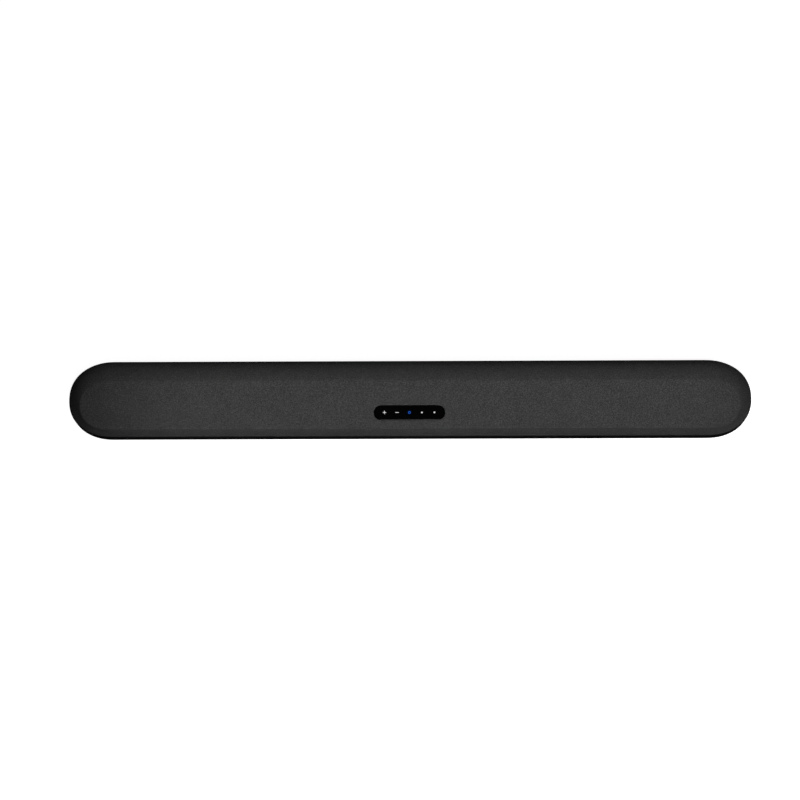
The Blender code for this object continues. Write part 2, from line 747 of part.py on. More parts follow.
CONE_DRIVER = (
    ("basket", BASKET, "black_steel", True),
    ("motor", MOTOR, "ferrite", False),
    ("cone", CONE, "cone_paper", False),
    ("surround", SURROUND, "soft_rubber", True),
)
TWEETER = (
    ("plate", TWEETER_PLATE, "frame_plastic", True),
    ("motor", TWEETER_MOTOR, "ferrite", False),
    ("dome", TWEETER_DOME, "dome_silk", False),
)


def make_drivers(name, side):
    at = (side * WOOFER_X, BOX_FRONT_Y - GAP, DRIVER_Z)
    make_driver(f"{name}_woofer", at, FACING_FRONT, CONE_DRIVER, straight=WOOFER_STRAIGHT)
    make_driver(f"{name}_tweeter", (side * TWEETER_X, BOX_FRONT_Y, DRIVER_Z), FACING_FRONT, TWEETER)
    flange_thick = 0.0014 * TOP_DRIVER_SCALE
    at = (side * TOP_DRIVER_X, TOP_DRIVER_Y, BOX_TOP_Z - BOX_WALL - GAP - flange_thick)
    make_driver(f"{name}_top_driver", at, FACING_UP, CONE_DRIVER, TOP_DRIVER_SCALE)


# ---------------------------------------------------------------- electronics
def socket_middle_z(height):
    return BOARD_Z - GAP - height / 2


def socket_block(name, size, finish):
    """The body of a socket under the board, its mouth towards the back (+Y)."""
    x, width, height, depth = size
    top = BOARD_Z - GAP
    low = (x - width / 2, SOCKET_FACE_Y - depth, top - height)
    return boxes(name, [(low, (x + width / 2, SOCKET_FACE_Y, top))], finish)


def make_socket(name, size, hole, finish):
    x, middle = size[0], socket_middle_z(size[2])
    width, height, depth = hole
    low = (x - width / 2, SOCKET_FACE_Y - depth, middle - height / 2)
    high = (x + width / 2, SOCKET_FACE_Y + 0.002, middle + height / 2)
    cut(socket_block(name, size, finish), boxes(f"{name}_cavity", [(low, high)]))


def make_mains_inlet(size, hole):
    """A two-pin inlet: an outer box, a slot-shaped mouth, and two pins inside it."""
    x, middle = size[0], socket_middle_z(size[2])
    width, height, depth = hole
    body = socket_block("mains_inlet", size, "socket_plastic")
    outline = slot_outline(width, height, steps=6)
    ends = (SOCKET_FACE_Y - depth, SOCKET_FACE_Y + 0.002)
    cut(body, lofted("mains_mouth", [[(x + a, y, middle + b) for a, b in outline] for y in ends]))
    bm = bmesh.new()
    pin_from, pin_to = SOCKET_FACE_Y - depth - 0.00125, SOCKET_FACE_Y - 0.00175
    for offset in (-MAINS_PIN_X, MAINS_PIN_X):
        place = Matrix.Translation((x + offset, (pin_from + pin_to) / 2, middle))
        bmesh.ops.create_cone(
            bm,
            cap_ends=True,
            segments=8,
            radius1=MAINS_PIN_RADIUS,
            radius2=MAINS_PIN_RADIUS,
            depth=pin_to - pin_from,
            matrix=place @ Matrix.Rotation(math.radians(90), 4, "X"),
        )
    add(body, object_from(bm, "mains_pins"))


def make_connector_panel(sockets):
    """The plate in the bay that the sockets look out through."""
    y = BAY_FACE_Y + GAP
    x_low, x_high, z_low, z_high = CONNECTOR_PANEL
    panel = boxes("connector_panel", [((x_low, y, z_low), (x_high, y + 0.0008, z_high))], "black_steel")
    holes = []
    for x, width, height, _ in sockets:
        half = width / 2 + GAP
        holes.append(((x - half, y - 0.01, BOARD_Z - height - 2 * GAP), (x + half, y + 0.01, BOARD_Z)))
    cut(panel, boxes("panel_cutters", holes))


def make_heat_sink():
    """A finned block over the amplifier chips, clear of the flat cable beside it."""
    x, y, z = -0.036, -0.006, BOARD_TOP + GAP
    corners = [((x - 0.022, y - 0.016, z), (x + 0.022, y + 0.016, z + 0.003))]
    sink = boxes("amplifier_heat_sink", corners, "aluminium")
    fins = []
    for i in range(7):
        fin_x = x - 0.021 + i * 0.007
        low, high = (fin_x - 0.0007, y - 0.0155, z + 0.002), (fin_x + 0.0007, y + 0.0155, z + 0.014)
        fins.append((low, high))
    add(sink, boxes("sink_fins", fins))


def make_transformer():
    """A wide bobbin with the ferrite core standing on it."""
    z = BOARD_TOP + GAP
    bobbin = boxes("power_transformer", [((0.082, -0.030, z), (0.110, -0.004, z + 0.004))], "ferrite")
    add(bobbin, boxes("transformer_core", [((0.0845, -0.0285, z + 0.003), (0.1075, -0.0055, z + 0.021))]))


def make_capacitor():
    can = [(0.0, 0.0, 0), (0.0090, 0.0, 0), (0.0090, 0.0286, 0), (0.0084, 0.0292, 0), (0.0, 0.0292, 0)]
    placed(turned("bulk_capacitor", can, "capacitor_sleeve"), (0.1255, -0.0125, BOARD_TOP + GAP), FACING_UP)


def make_boards():
    for name, ends in (("main_board", MAIN_BOARD_X), ("power_board", POWER_BOARD_X)):
        low, high = (ends[0], BOARD_Y[0], BOARD_Z), (ends[1], BOARD_Y[1], BOARD_TOP)
        boxes(name, [(low, high)], "circuit_board")


def make_electronics():
    make_boards()
    make_heat_sink()
    make_transformer()
    make_capacitor()
    z = BOARD_TOP + GAP
    boxes("processor_shield", [((-0.098, -0.028, z), (-0.062, 0.004, z + 0.0035))], "steel")
    boxes("wireless_module", [((0.010, -0.033, z), (0.032, -0.015, z + 0.0024))], "steel")
    make_socket("hdmi_socket", *HDMI, "steel")
    make_socket("optical_socket", *OPTICAL, "socket_plastic")
    make_mains_inlet(*MAINS)
    make_connector_panel([size for size, _ in (HDMI, OPTICAL, MAINS)])


def main():
    clear_scene()
    make_base()
    make_cover()
    make_panel()
    make_touch_board()
    make_ribbon()
    for name, side in (("left", -1), ("right", 1)):
        make_speaker_box(name, side)
        make_drivers(name, side)
    make_electronics()


main()
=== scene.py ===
"""The looks of a slim soundbar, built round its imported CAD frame.

Every piece seen from outside is modelled again here at full detail: the stretched fabric cover with
its tucked edges, the black base with its connector bay, the gloss touch panel and its lit marks,
the sockets, feet and screws. The speakers inside are turned again from finer profiles. Metres,
+Z up, -Y the front.
"""

import json
import math

import bmesh
import bpy
from mathutils import Matrix, Vector


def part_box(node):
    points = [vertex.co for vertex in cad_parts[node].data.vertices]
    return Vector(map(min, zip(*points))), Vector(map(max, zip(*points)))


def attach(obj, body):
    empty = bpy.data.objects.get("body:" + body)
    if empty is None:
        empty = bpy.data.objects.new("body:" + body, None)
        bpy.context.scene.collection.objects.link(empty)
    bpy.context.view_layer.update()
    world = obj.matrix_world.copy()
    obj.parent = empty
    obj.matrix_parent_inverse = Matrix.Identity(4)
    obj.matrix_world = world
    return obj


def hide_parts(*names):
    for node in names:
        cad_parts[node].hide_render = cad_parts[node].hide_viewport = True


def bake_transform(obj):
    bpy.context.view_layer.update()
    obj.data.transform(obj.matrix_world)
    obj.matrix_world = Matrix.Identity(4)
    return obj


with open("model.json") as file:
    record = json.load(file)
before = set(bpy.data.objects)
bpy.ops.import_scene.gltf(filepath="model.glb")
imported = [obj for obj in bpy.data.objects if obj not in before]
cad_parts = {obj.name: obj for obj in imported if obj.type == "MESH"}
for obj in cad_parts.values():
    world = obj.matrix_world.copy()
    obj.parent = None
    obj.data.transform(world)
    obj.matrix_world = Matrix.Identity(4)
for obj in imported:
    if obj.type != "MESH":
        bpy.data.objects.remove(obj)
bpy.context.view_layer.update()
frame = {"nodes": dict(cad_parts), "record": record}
NODES = frame["nodes"]

# -------- driving dimensions
COVER_LOW, COVER_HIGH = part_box("fabric_cover")
BASE_LOW, BASE_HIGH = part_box("base_housing")
PANEL_LOW, PANEL_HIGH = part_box("touch_panel")
LENGTH = BASE_HIGH.x - BASE_LOW.x
DEPTH = BASE_HIGH.y - BASE_LOW.y
TOP = COVER_HIGH.z
SEAM = COVER_LOW.z  # the fabric's lower edge
COVER_STEP = BASE_HIGH.x - COVER_HIGH.x  # how far the fabric's side stands in from the base's

# The ends of the plan outline are half superellipses.
END_STRETCH = 1.17  # an end's length against half its width
END_POWER = 2.2  # 2 would be an ellipse, and more is squarer
ARC_STEPS = 40  # segments in each end
STRAIGHT_STEPS = 24  # segments along each long side

# How far the flat top stands in from the grille's lower edge on each side, and the roll-off's arc.
FRONT_LEAN = 0.0042
REAR_ROLL = 0.0372
END_ROLL = 0.0215
FLATNESS = 0.75  # of the front and ends: 0 would round them like the rear, 1 makes flat slopes
ROLL_ANGLE = math.radians(66)

FABRIC = 0.0008
FRAME_WALL = 0.0020
GAP = 0.0003  # between pieces that touch
CREASE = 0.0008  # the fabric's rounding where the top meets the sides
HEM_RADIUS = 0.0020  # the fabric's lower edge turns under on this radius

SIDE_START = SEAM + 0.0035  # the side's rings start here, above the turned-under edge
TOP_RUNS = (0.0015, 0.0040)  # the flat top's own rings, this far in from the crease
SHARP_ANGLE = 32  # degrees: a steeper edge is shaded as an edge

BASE_EDGE = 0.0018  # the rounding of the base's lower edge
BASE_WALL = 0.0024
FLOOR_TOP = 0.0050
BAY_HALF = 0.118
BAY_FACE_Y = 0.0260
BAY_WALL = 0.0025
BAY_ROOF_Z = 0.0173
BAY_ROOF = 0.0020
VENT_COLUMNS = (-0.075, -0.010, 0.095)
VENT_ROWS, VENT_FIRST_Y, VENT_PITCH = 6, -0.034, 0.009
VENT_SIZE = (0.052, 0.0026)
KEYHOLE_SPACE = (0.0124, 0.026)
KEYHOLE_PLATES = ("keyhole_plate_left", "keyhole_plate_right")
SOCKET_WINDOWS = ((-0.052, 0.026), (0.096, 0.0125))  # in the bay's wall: middle, half width
WINDOW_LOW_Z, WINDOW_HIGH_Z = 0.0054, 0.0168
BOARD_POSTS_X, BOARD_POSTS_Y = (-0.108, 0.048, 0.070, 0.133), (-0.031, 0.018)
BOARD_POST = (0.0025, 0.0038, 0.0163)  # radius, lower end and upper end

DRIVER_Z = 0.0375
BOX_FRONT_Y = -0.0430
BOX_TOP_Z = 0.0580
BOX_WALL = 0.0025
WOOFER_X, WOOFER_STRAIGHT = 0.3225, 0.025
TWEETER_X = 0.405
TOP_DRIVER_X, TOP_DRIVER_Y = 0.225, -0.0105
TOP_DRIVER_SCALE = 1.32
WINDOW_SLOT, WINDOW_PITCH = 0.0050, 0.0085  # the slots in the grille frame
TOP_WINDOW_HALF = 0.0225
FRONT_WINDOW_REACH, TOP_WINDOW_REACH = 0.012, 0.010  # half depths of the slots' cutters
LUG_HALF, LUG_INNER_Y, LUG_HEIGHT = 0.0042, 0.0473, 0.0087  # the grille frame's screw lugs
POST_RADIUS, BORE_RADIUS, BORE_DEPTH = 0.0044, 0.0014, 0.0072  # the screws' posts and bores
WELL_RADIUS, WELL_DEPTH = 0.0027, 0.0021  # the wells their heads lie in
SCREWS = [f"case_screw_{end}_{side}" for end in ("front", "rear") for side in ("left", "right")]
FEET = [f"foot_{end}_{side}" for end in ("front", "rear") for side in ("left", "right")]


# -------- meshes
MERGE = 1e-6  # points closer than this are one point


def piece_from(bm, name, finish, body="bar", stands_for=(), sharp_angle=SHARP_ANGLE):
    """Turns a bmesh into a piece of the object that rides on a CAD body."""
    bmesh.ops.recalc_face_normals(bm, faces=bm.faces)
    mesh = bpy.data.meshes.new(name)
    bm.to_mesh(mesh)
    bm.free()
    mesh.shade_smooth()
    mesh.set_sharp_from_angle(angle=math.radians(sharp_angle))
    obj = bpy.data.objects.new(name, mesh)
    bpy.context.scene.collection.objects.link(obj)
    if finish:
        mesh.materials.append(finish)
    if body:
        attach(obj, body)
    if stands_for:
        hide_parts(*stands_for)
    return obj


def loft(bm, rings, closed=False):
    """Skins rings of equally many points. The first and last are filled, or joined if closed."""
    rows = [[bm.verts.new(point) for point in ring] for ring in rings]
    pairs = list(zip(rows, rows[1:]))
    if closed:
        pairs.append((rows[-1], rows[0]))
    for low, high in pairs:
        for i in range(len(low)):
            j = (i + 1) % len(low)
            bm.faces.new((low[i], low[j], high[j], high[i]))
    if not closed:
        bm.faces.new(rows[0])
        bm.faces.new(rows[-1])


def end_point(angle, power):
    """A point of a half superellipse, from (0, -1) through (1, 0) to (0, 1)."""
    along, across = abs(math.cos(angle)) ** (2 / power), abs(math.sin(angle)) ** (2 / power)
    return along, math.copysign(across, angle)


def oblong(right, left, front, rear, z, stretch=1.0, power=2.0, steps=(ARC_STEPS, STRAIGHT_STEPS)):
    """A level ring between the limits given: two rounded ends and two straight sides.

    The steps are the segments in each end and along each side.
    """
    arc_steps, straight_steps = steps
    half_width, middle = (rear - front) / 2, (rear + front) / 2
    end_length = stretch * half_width
    centres = (right - end_length, left + end_length)
    ring = []
    for side, here, there in ((1, centres[0], centres[1]), (-1, centres[1], centres[0])):
        for i in range(arc_steps + 1):
            along, across = end_point(math.pi * (i / arc_steps - 0.5), power)
            ring.append((here + side * end_length * along, middle + side * half_width * across, z))
        for i in range(1, straight_steps):
            ring.append((here + (there - here) * i / straight_steps, middle + side * half_width, z))
    return ring


def flat_share(share):
    """How far in the front and the ends have come where the rear has rolled share of its way in."""
    cosine = 1 - share * (1 - math.cos(ROLL_ANGLE))
    rise = math.sqrt(1 - cosine * cosine) / math.sin(ROLL_ANGLE)
    return share + FLATNESS * (rise - share)


def outline_ring(share, inset, z):
    """The bar's outline where the roll-off has gone share of its way in, drawn in by inset."""
    end = LENGTH / 2 - inset - END_ROLL * flat_share(share)
    front = -DEPTH / 2 + inset + FRONT_LEAN * flat_share(share)
    rear = DEPTH / 2 - inset - REAR_ROLL * share
    return oblong(end, -end, front, rear, z, END_STRETCH, END_POWER)


def wall_share(z, top):
    """How far in the side has rolled at a height, from 0 at the seam to 1 at the top."""
    rise = (z - SEAM) / (top - SEAM)
    angle = math.asin(min(1.0, rise * math.sin(ROLL_ANGLE)))
    return (1 - math.cos(angle)) / (1 - math.cos(ROLL_ANGLE))


def side_ring(depth, z):
    """The ring of the grille's side at a height, at a depth under the fabric's face."""
    return outline_ring(wall_share(z, TOP - depth), COVER_STEP + depth, z)


def side_rings(depth, start_z, crease, levels):
    """The grille's side at a depth under the fabric's face, from start_z over a rounded crease."""
    top = TOP - depth
    first, last = (
        math.asin((z - SEAM) / (top - SEAM) * math.sin(ROLL_ANGLE)) for z in (start_z, top - crease)
    )
    rings = []
    for i in range(levels + 1):
        angle = first + (last - first) * i / levels
        rings.append(side_ring(depth, SEAM + (top - SEAM) * math.sin(angle) / math.sin(ROLL_ANGLE)))
    low_share, steps = wall_share(top - crease, top), 5
    for i in range(1, steps + 1):
        left = (1 - i / steps) ** 2
        share = left * low_share + 1 - left
        inset = COVER_STEP + depth + (i / steps) ** 2 * crease
        rings.append(outline_ring(share, inset, top - left * crease))
    for more in TOP_RUNS:
        rings.append(outline_ring(1, COVER_STEP + depth + crease + more, top))
    return rings


def oblong_about(low, high, grow, z, steps=(ARC_STEPS, STRAIGHT_STEPS)):
    """The oblong that a box's plan holds, drawn out by grow."""
    return oblong(high.x + grow, low.x - grow, low.y - grow, high.y + grow, z, steps=steps)


def panel_ring(grow, z):
    """The touch panel's outline, drawn out by grow."""
    return oblong_about(PANEL_LOW, PANEL_HIGH, grow, z)


def turned_rings(profile, steps, straight=0.0):
    """Rings about +Z from (radius, height, share of the racetrack's straight) points in metres."""
    rings = []
    for radius, height, share in profile:
        ring = []
        for side in (1, -1):
            for i in range(steps + 1):
                angle = math.pi * (i / steps - 0.5)
                x = side * (straight * share + radius * math.cos(angle))
                ring.append((x, side * radius * math.sin(angle), height))
        rings.append(ring)
    return rings


def turned_into(bm, profile, straight=0.0, closed=False, steps=24, place=None):
    """Skins a turned profile, merges the points that meet on its axis, and puts it in place."""
    before = set(bm.verts)

    def made():
        return [v for v in bm.verts if v not in before]

    loft(bm, turned_rings(profile, steps, straight), closed)
    bmesh.ops.remove_doubles(bm, verts=made(), dist=MERGE)
    edges = list({e for v in made() for e in v.link_edges})
    bmesh.ops.dissolve_degenerate(bm, edges=edges, dist=MERGE)
    if place:
        bmesh.ops.transform(bm, matrix=place, verts=made())


def pillar_into(bm, place, radius, z_low, z_high, steps=12):
    """A cylinder about +Z, put in place."""
    profile = [(0.0, z_low, 0), (radius, z_low, 0), (radius, z_high, 0), (0.0, z_high, 0)]
    turned_into(bm, profile, steps=steps, place=place)


def moved_to(x, y, z=0.0):
    return Matrix.Translation((x, y, z))


def centre(low, high):
    """The middle of a box."""
    return [(a + b) / 2 for a, b in zip(low, high)]


def rounded_box_into(bm, low, high, radius=0.0003, segments=2):
    """A box with its edges rounded."""
    size = [b - a for a, b in zip(low, high)]
    matrix = Matrix.Translation(centre(low, high)) @ Matrix.Diagonal((*size, 1.0))
    made = bmesh.ops.create_cube(bm, size=1.0, matrix=matrix)["verts"]
    edges = list({e for v in made for e in v.link_edges})
    bmesh.ops.bevel(bm, geom=edges, offset=radius, segments=segments, profile=0.5, affect="EDGES")


def cutter(bm):
    """A shape that only cuts: it is removed again once it has been used."""
    return piece_from(bm, "cutter", None, body=None)


def cut(obj, cutters, operation="DIFFERENCE"):
    """Cuts each shape out of obj, or joins it on, and removes the cutters."""
    for shape in cutters:
        modifier = obj.modifiers.new(shape.name, "BOOLEAN")
        modifier.operation = operation
        modifier.solver = "EXACT"
        modifier.object = shape
    apply_modifiers(obj)
    for shape in cutters:
        bpy.data.objects.remove(shape)


def apply_modifiers(obj):
    bpy.context.view_layer.update()
    evaluated = obj.evaluated_get(bpy.context.evaluated_depsgraph_get())
    mesh = bpy.data.meshes.new_from_object(evaluated)
    obj.modifiers.clear()
    obj.data = mesh


def carve(obj, slot, *cutters):
    """Cuts shapes out of a piece, then shades it again and gives it its finish back."""
    cut(obj, cutters)
    obj.data.shade_smooth()
    obj.data.set_sharp_from_angle(angle=math.radians(SHARP_ANGLE))
    finished(obj, slot)


def softened(node, slot, width):
    """A CAD node's shape with its edges rounded, as a piece that stands for the node."""
    flat, corner = math.radians(1), math.radians(28)  # less is no edge, and more is rounded
    most_corners = 24
    bm = bmesh.new()
    bm.from_mesh(NODES[node].data)
    bmesh.ops.remove_doubles(bm, verts=bm.verts, dist=MERGE)
    bmesh.ops.dissolve_limit(bm, angle_limit=flat, verts=bm.verts, edges=bm.edges)
    # A bevel can fold over a face that runs round a hole, so such faces are triangles first.
    bmesh.ops.triangulate(bm, faces=[face for face in bm.faces if len(face.verts) > most_corners])
    edges = [e for e in bm.edges if len(e.link_faces) == 2 and e.calc_face_angle() > corner]
    bmesh.ops.bevel(bm, geom=edges, offset=width, segments=2, profile=0.5, affect="EDGES")
    return piece(bm, f"{node}_body", slot, stands_for=[node])


def rounded(profile, radius, steps=3, closed=False):
    """A turned profile with its corners rounded by up to a radius."""
    points = [Vector(point) for point in profile]
    count = len(points)
    made = []
    for i, corner in enumerate(points):
        if not closed and i in (0, count - 1):
            made.append(corner)
            continue
        cuts = []
        for other in (points[i - 1], points[(i + 1) % count]):
            length = math.hypot(other.x - corner.x, other.y - corner.y)
            cuts.append(corner.lerp(other, min(radius / length, 0.45)))  # short of half way
        for j in range(steps + 1):
            t = j / steps
            made.append(cuts[0] * (1 - t) ** 2 + corner * 2 * t * (1 - t) + cuts[1] * t * t)
    return [tuple(point) for point in made]


# -------- materials
class Nodes:
    """A node tree, with one short call for each kind of node that is used here."""

    def __init__(self, tree):
        self.tree = tree

    def feed(self, node, values):
        """Sets a node's inputs, each to a number, a vector, (r, g, b) or another node's output."""
        for key, value in values.items():
            socket = node.inputs[key]
            if isinstance(value, bpy.types.NodeSocket):
                self.tree.links.new(value, socket)
            elif socket.type == "RGBA":
                socket.default_value = (*value, 1.0)
            else:
                socket.default_value = value
        return node.outputs

    def add(self, kind, values=None, **settings):
        """Adds a node and returns its outputs."""
        node = self.tree.nodes.new(kind)
        for key, value in settings.items():
            setattr(node, key, value)
        return self.feed(node, values or {})

    def place(self, scale=(1.0, 1.0, 1.0), uv=None):
        """Object coordinates in metres, or the named UV map, stretched by scale."""
        if uv:
            source = self.add("ShaderNodeUVMap", uv_map=uv)["UV"]
        else:
            source = self.add("ShaderNodeTexCoord")["Object"]
        return self.add("ShaderNodeMapping", {"Vector": source, "Scale": scale})["Vector"]

    def noise(self, scale, detail=2.0, roughness=0.5, stretch=(1.0, 1.0, 1.0)):
        values = {"Scale": scale, "Detail": detail, "Roughness": roughness}
        values["Vector"] = self.place(stretch)
        return self.add("ShaderNodeTexNoise", values)["Fac"]

    def between(self, factor, low, high, start=0.0, stop=1.0):
        """A number that goes from low to high as factor goes from start to stop."""
        values = {"From Min": start, "From Max": stop, "To Min": low, "To Max": high}
        return self.add("ShaderNodeMapRange", {"Value": factor, **values})["Result"]

    def ramp(self, factor, stops):
        """Colours at places along factor, from (place, (r, g, b)) pairs."""
        node = self.tree.nodes.new("ShaderNodeValToRGB")
        elements = node.color_ramp.elements
        while len(elements) < len(stops):
            elements.new(0.5)
        for element, (place, colour) in zip(elements, stops):
            element.position = place
            element.color = (*colour, 1.0)
        return self.feed(node, {"Fac": factor})["Color"]

    def maths(self, operation, *values):
        return self.add("ShaderNodeMath", dict(enumerate(values)), operation=operation)["Value"]

    def split(self, vector):
        return self.add("ShaderNodeSeparateXYZ", {0: vector})

    def bump(self, height, distance, strength):
        values = {"Height": height, "Distance": distance, "Strength": strength}
        return self.add("ShaderNodeBump", values)["Normal"]


FINISHES = {}  # each material by the name of its slot


class Finish(Nodes):
    """A material's node tree."""

    def __init__(self, name, colour, roughness, metallic=0.0, specular=0.5):
        self.material = FINISHES[name] = bpy.data.materials.new(name)
        self.material.use_nodes = True
        self.material.diffuse_color = (*colour, 1.0)
        super().__init__(self.material.node_tree)
        values = {"Base Color": colour, "Roughness": roughness}
        self.wire({**values, "Metallic": metallic, "Specular IOR Level": specular})

    def wire(self, values):
        """Sets inputs of the material's own shader."""
        self.feed(self.tree.nodes["Principled BSDF"], values)


LOOP_PITCH, WIRE_PITCH = 0.0011, 0.0010  # in the knit and in the ribbon cable


def grey(value, warmth=0.0):
    return (value * (1 + warmth), value, value * (1 - warmth))


def noise_finish(name, colour, roughness, tint, gloss=None, relief=None, more=None, **settings):
    """A finish whose tint, gloss and relief each follow a noise.

    Each of the three starts with the numbers of its noise. A tint goes on with its (place, colour)
    stops, a gloss with the numbers for between, and a relief with its depth and strength.
    """
    made = Finish(name, colour, roughness, **settings)
    noise, *stops = tint
    values = {"Base Color": made.ramp(made.noise(*noise), stops)}
    if gloss:
        noise, *span = gloss
        values["Roughness"] = made.between(made.noise(*noise), *span)
    if relief:
        noise, depth, strength = relief
        values["Normal"] = made.bump(made.noise(*noise), depth, strength)
    made.wire({**values, **(more or {})})


def fabric_finish():
    """Charcoal melange knit: dark and paler fibres spun together, in fine plain loops."""
    made = Finish("charcoal_fabric", grey(0.040), 0.95, specular=0.04)
    fibres = made.noise(820.0, 2.0, 0.6)
    patches = made.noise(34.0)
    shade = made.maths("ADD", made.between(fibres, -0.5, 0.5, 0.2, 0.8), 0.5)
    shade = made.maths("ADD", shade, made.between(patches, -0.03, 0.03, 0.3, 0.7))
    stops = [(0.10, grey(0.022)), (0.42, grey(0.038)), (0.58, grey(0.047)), (0.90, grey(0.080))]
    loops, turns = made.split(made.place(uv="cloth")), 2 * math.pi / LOOP_PITCH
    across, along = (made.maths("SINE", made.maths("MULTIPLY", loops[i], turns)) for i in (0, 1))
    weave = made.maths("MULTIPLY", made.maths("MULTIPLY", across, along), 0.5)
    relief = made.maths("ADD", weave, made.maths("MULTIPLY", fibres, 1.2))
    values = {"Base Color": made.ramp(shade, stops), "Normal": made.bump(relief, 0.00012, 0.8)}
    made.wire({**values, "Roughness": made.between(fibres, 0.86, 0.98)})


def plastic_finish(name, value, roughness, grain=2600.0, depth=0.00004, specular=0.4):
    """Moulded plastic with a fine spark-eroded grain and slightly uneven gloss."""
    clouds = (45.0, 2.0)
    tint = (clouds, (0.3, grey(value * 0.86)), (0.7, grey(value * 1.16)))
    gloss = (clouds, roughness * 0.9, roughness * 1.1, 0.3, 0.7)
    relief = ((grain, 1.5), depth, 0.6)
    noise_finish(name, grey(value), roughness, tint, gloss, relief, specular=specular)


def lamp_finish(name, colour, glow, strength):
    """A translucent inlay lit evenly from behind."""
    dim = tuple(c * 0.85 for c in colour)
    lit = {"Emission Color": glow, "Emission Strength": strength}
    noise_finish(name, colour, 0.35, ((1400.0, 1.0), (0.3, dim), (0.7, colour)), more=lit)


def metal_finish(name, colour, roughness, brushed):
    """Sheet or extruded metal, its fine scratches drawn out along its least stretched axis."""
    scratches = (900.0, 4.0, 0.5, brushed)
    tint = ((70.0, 2.0), (0.3, tuple(c * 0.82 for c in colour)), (0.7, colour))
    gloss = (scratches, roughness * 0.75, roughness * 1.35, 0.3, 0.7)
    noise_finish(name, colour, roughness, tint, gloss, (scratches, 0.00002, 0.5), metallic=1.0)


def board_finish():
    """Solder mask over copper: paler tracks in right-angled runs, and small tinned pads."""
    made = Finish("circuit_board", (0.014, 0.105, 0.042), 0.38)
    layout = {"Scale": 1.0, "Brick Width": 0.0110, "Row Height": 0.0024, "Mortar Size": 0.00022}
    masks = {"Color1": (0.012, 0.090, 0.036), "Color2": (0.015, 0.110, 0.044)}
    values = {"Vector": made.place(), **layout, **masks, "Mortar": (0.030, 0.190, 0.085)}
    tracks = made.add("ShaderNodeTexBrick", values, offset=0.37, squash=1.0)
    values = {"Vector": made.place(), "Scale": 260.0}
    pads = made.add("ShaderNodeTexVoronoi", values, feature="DISTANCE_TO_EDGE")
    tinned = made.between(pads["Distance"], 0.0, 1.0, 0.42, 0.44)
    # The mix node's colour sockets come after those for numbers and vectors.
    values = {0: tinned, 6: tracks["Color"], 7: (0.55, 0.55, 0.52)}
    colour = made.add("ShaderNodeMix", values, data_type="RGBA")[2]
    values = {"Base Color": colour, "Roughness": made.between(tinned, 0.40, 0.25)}
    made.wire({**values, "Normal": made.bump(tracks["Fac"], 0.00003, 0.6)})


def ribbon_finish():
    """A flat cable: fine copper lines side by side in a pale sleeve."""
    made = Finish("ribbon_plastic", (0.60, 0.60, 0.56), 0.40)
    across = made.split(made.place())[0]
    lines = made.maths("SINE", made.maths("MULTIPLY", across, 2 * math.pi / WIRE_PITCH))
    colour = made.ramp(lines, [(0.35, (0.62, 0.62, 0.58)), (0.65, (0.52, 0.44, 0.34))])
    made.wire({"Base Color": colour, "Normal": made.bump(lines, 0.00005, 0.6)})


# Noises that more than one part of a finish follows.
SMEARS = (60.0, 4.0, 0.5, (0.5, 1.4, 1.0))
DUST, PEEL, FROST = (220.0, 4.0), (1500.0, 1.0), (600.0, 2.0)
PULP, PITS = (420.0, 5.0, 0.75), (900.0, 4.0, 0.7)
WEAVE, WAVES = (2200.0, 1.0, 0.5, (1.0, 3.0, 3.0)), (120.0, 3.0, 0.5, (1.0, 1.0, 0.25))
fabric_finish()
plastic_finish("base_plastic", 0.0040, 0.52, specular=0.08)
plastic_finish("frame_plastic", 0.020, 0.60)
plastic_finish("cabinet_plastic", 0.030, 0.55, grain=1800.0, depth=0.00006)
plastic_finish("socket_plastic", 0.012, 0.42)
# Piano black, with the faint unevenness of a polished moulding and of fingers.
noise_finish(
    "panel_gloss", grey(0.0008), 0.10,
    tint=(SMEARS, (0.0, grey(0.0006)), (1.0, grey(0.0011))),
    gloss=(SMEARS, 0.07, 0.16, 0.35, 0.7), relief=((25.0, 1.0), 0.00002, 0.3),
    specular=0.12,
)
lamp_finish("icon_white", (0.60, 0.60, 0.60), (1.0, 1.0, 1.0), 0.18)
lamp_finish("icon_blue", (0.0, 0.03, 0.16), (0.0, 0.16, 1.0), 0.20)
noise_finish(
    "clear_plastic", (0.86, 0.88, 0.90), 0.16,
    tint=(FROST, (0.3, (0.80, 0.82, 0.85)), (0.7, (0.90, 0.92, 0.94))),
    gloss=(FROST, 0.10, 0.30),
    more={"Transmission Weight": 0.7},
)
ribbon_finish()
board_finish()
metal_finish("steel", (0.56, 0.57, 0.58), 0.34, (0.15, 1.0, 1.0))
metal_finish("aluminium", (0.72, 0.73, 0.75), 0.36, (1.0, 0.12, 1.0))
noise_finish(
    "black_steel", grey(0.028), 0.42,
    tint=((80.0,), (0.3, grey(0.023)), (0.7, grey(0.034))),
    gloss=(PEEL, 0.36, 0.50), relief=(PEEL, 0.00003, 0.5),
)
# Sintered magnet: dull, dark, and finely pitted.
noise_finish(
    "ferrite", grey(0.055, 0.03), 0.58,
    tint=(PITS, (0.3, grey(0.035, 0.03)), (0.7, grey(0.075, 0.02))),
    gloss=(PITS, 0.48, 0.70), relief=(PITS, 0.00008, 0.7),
)
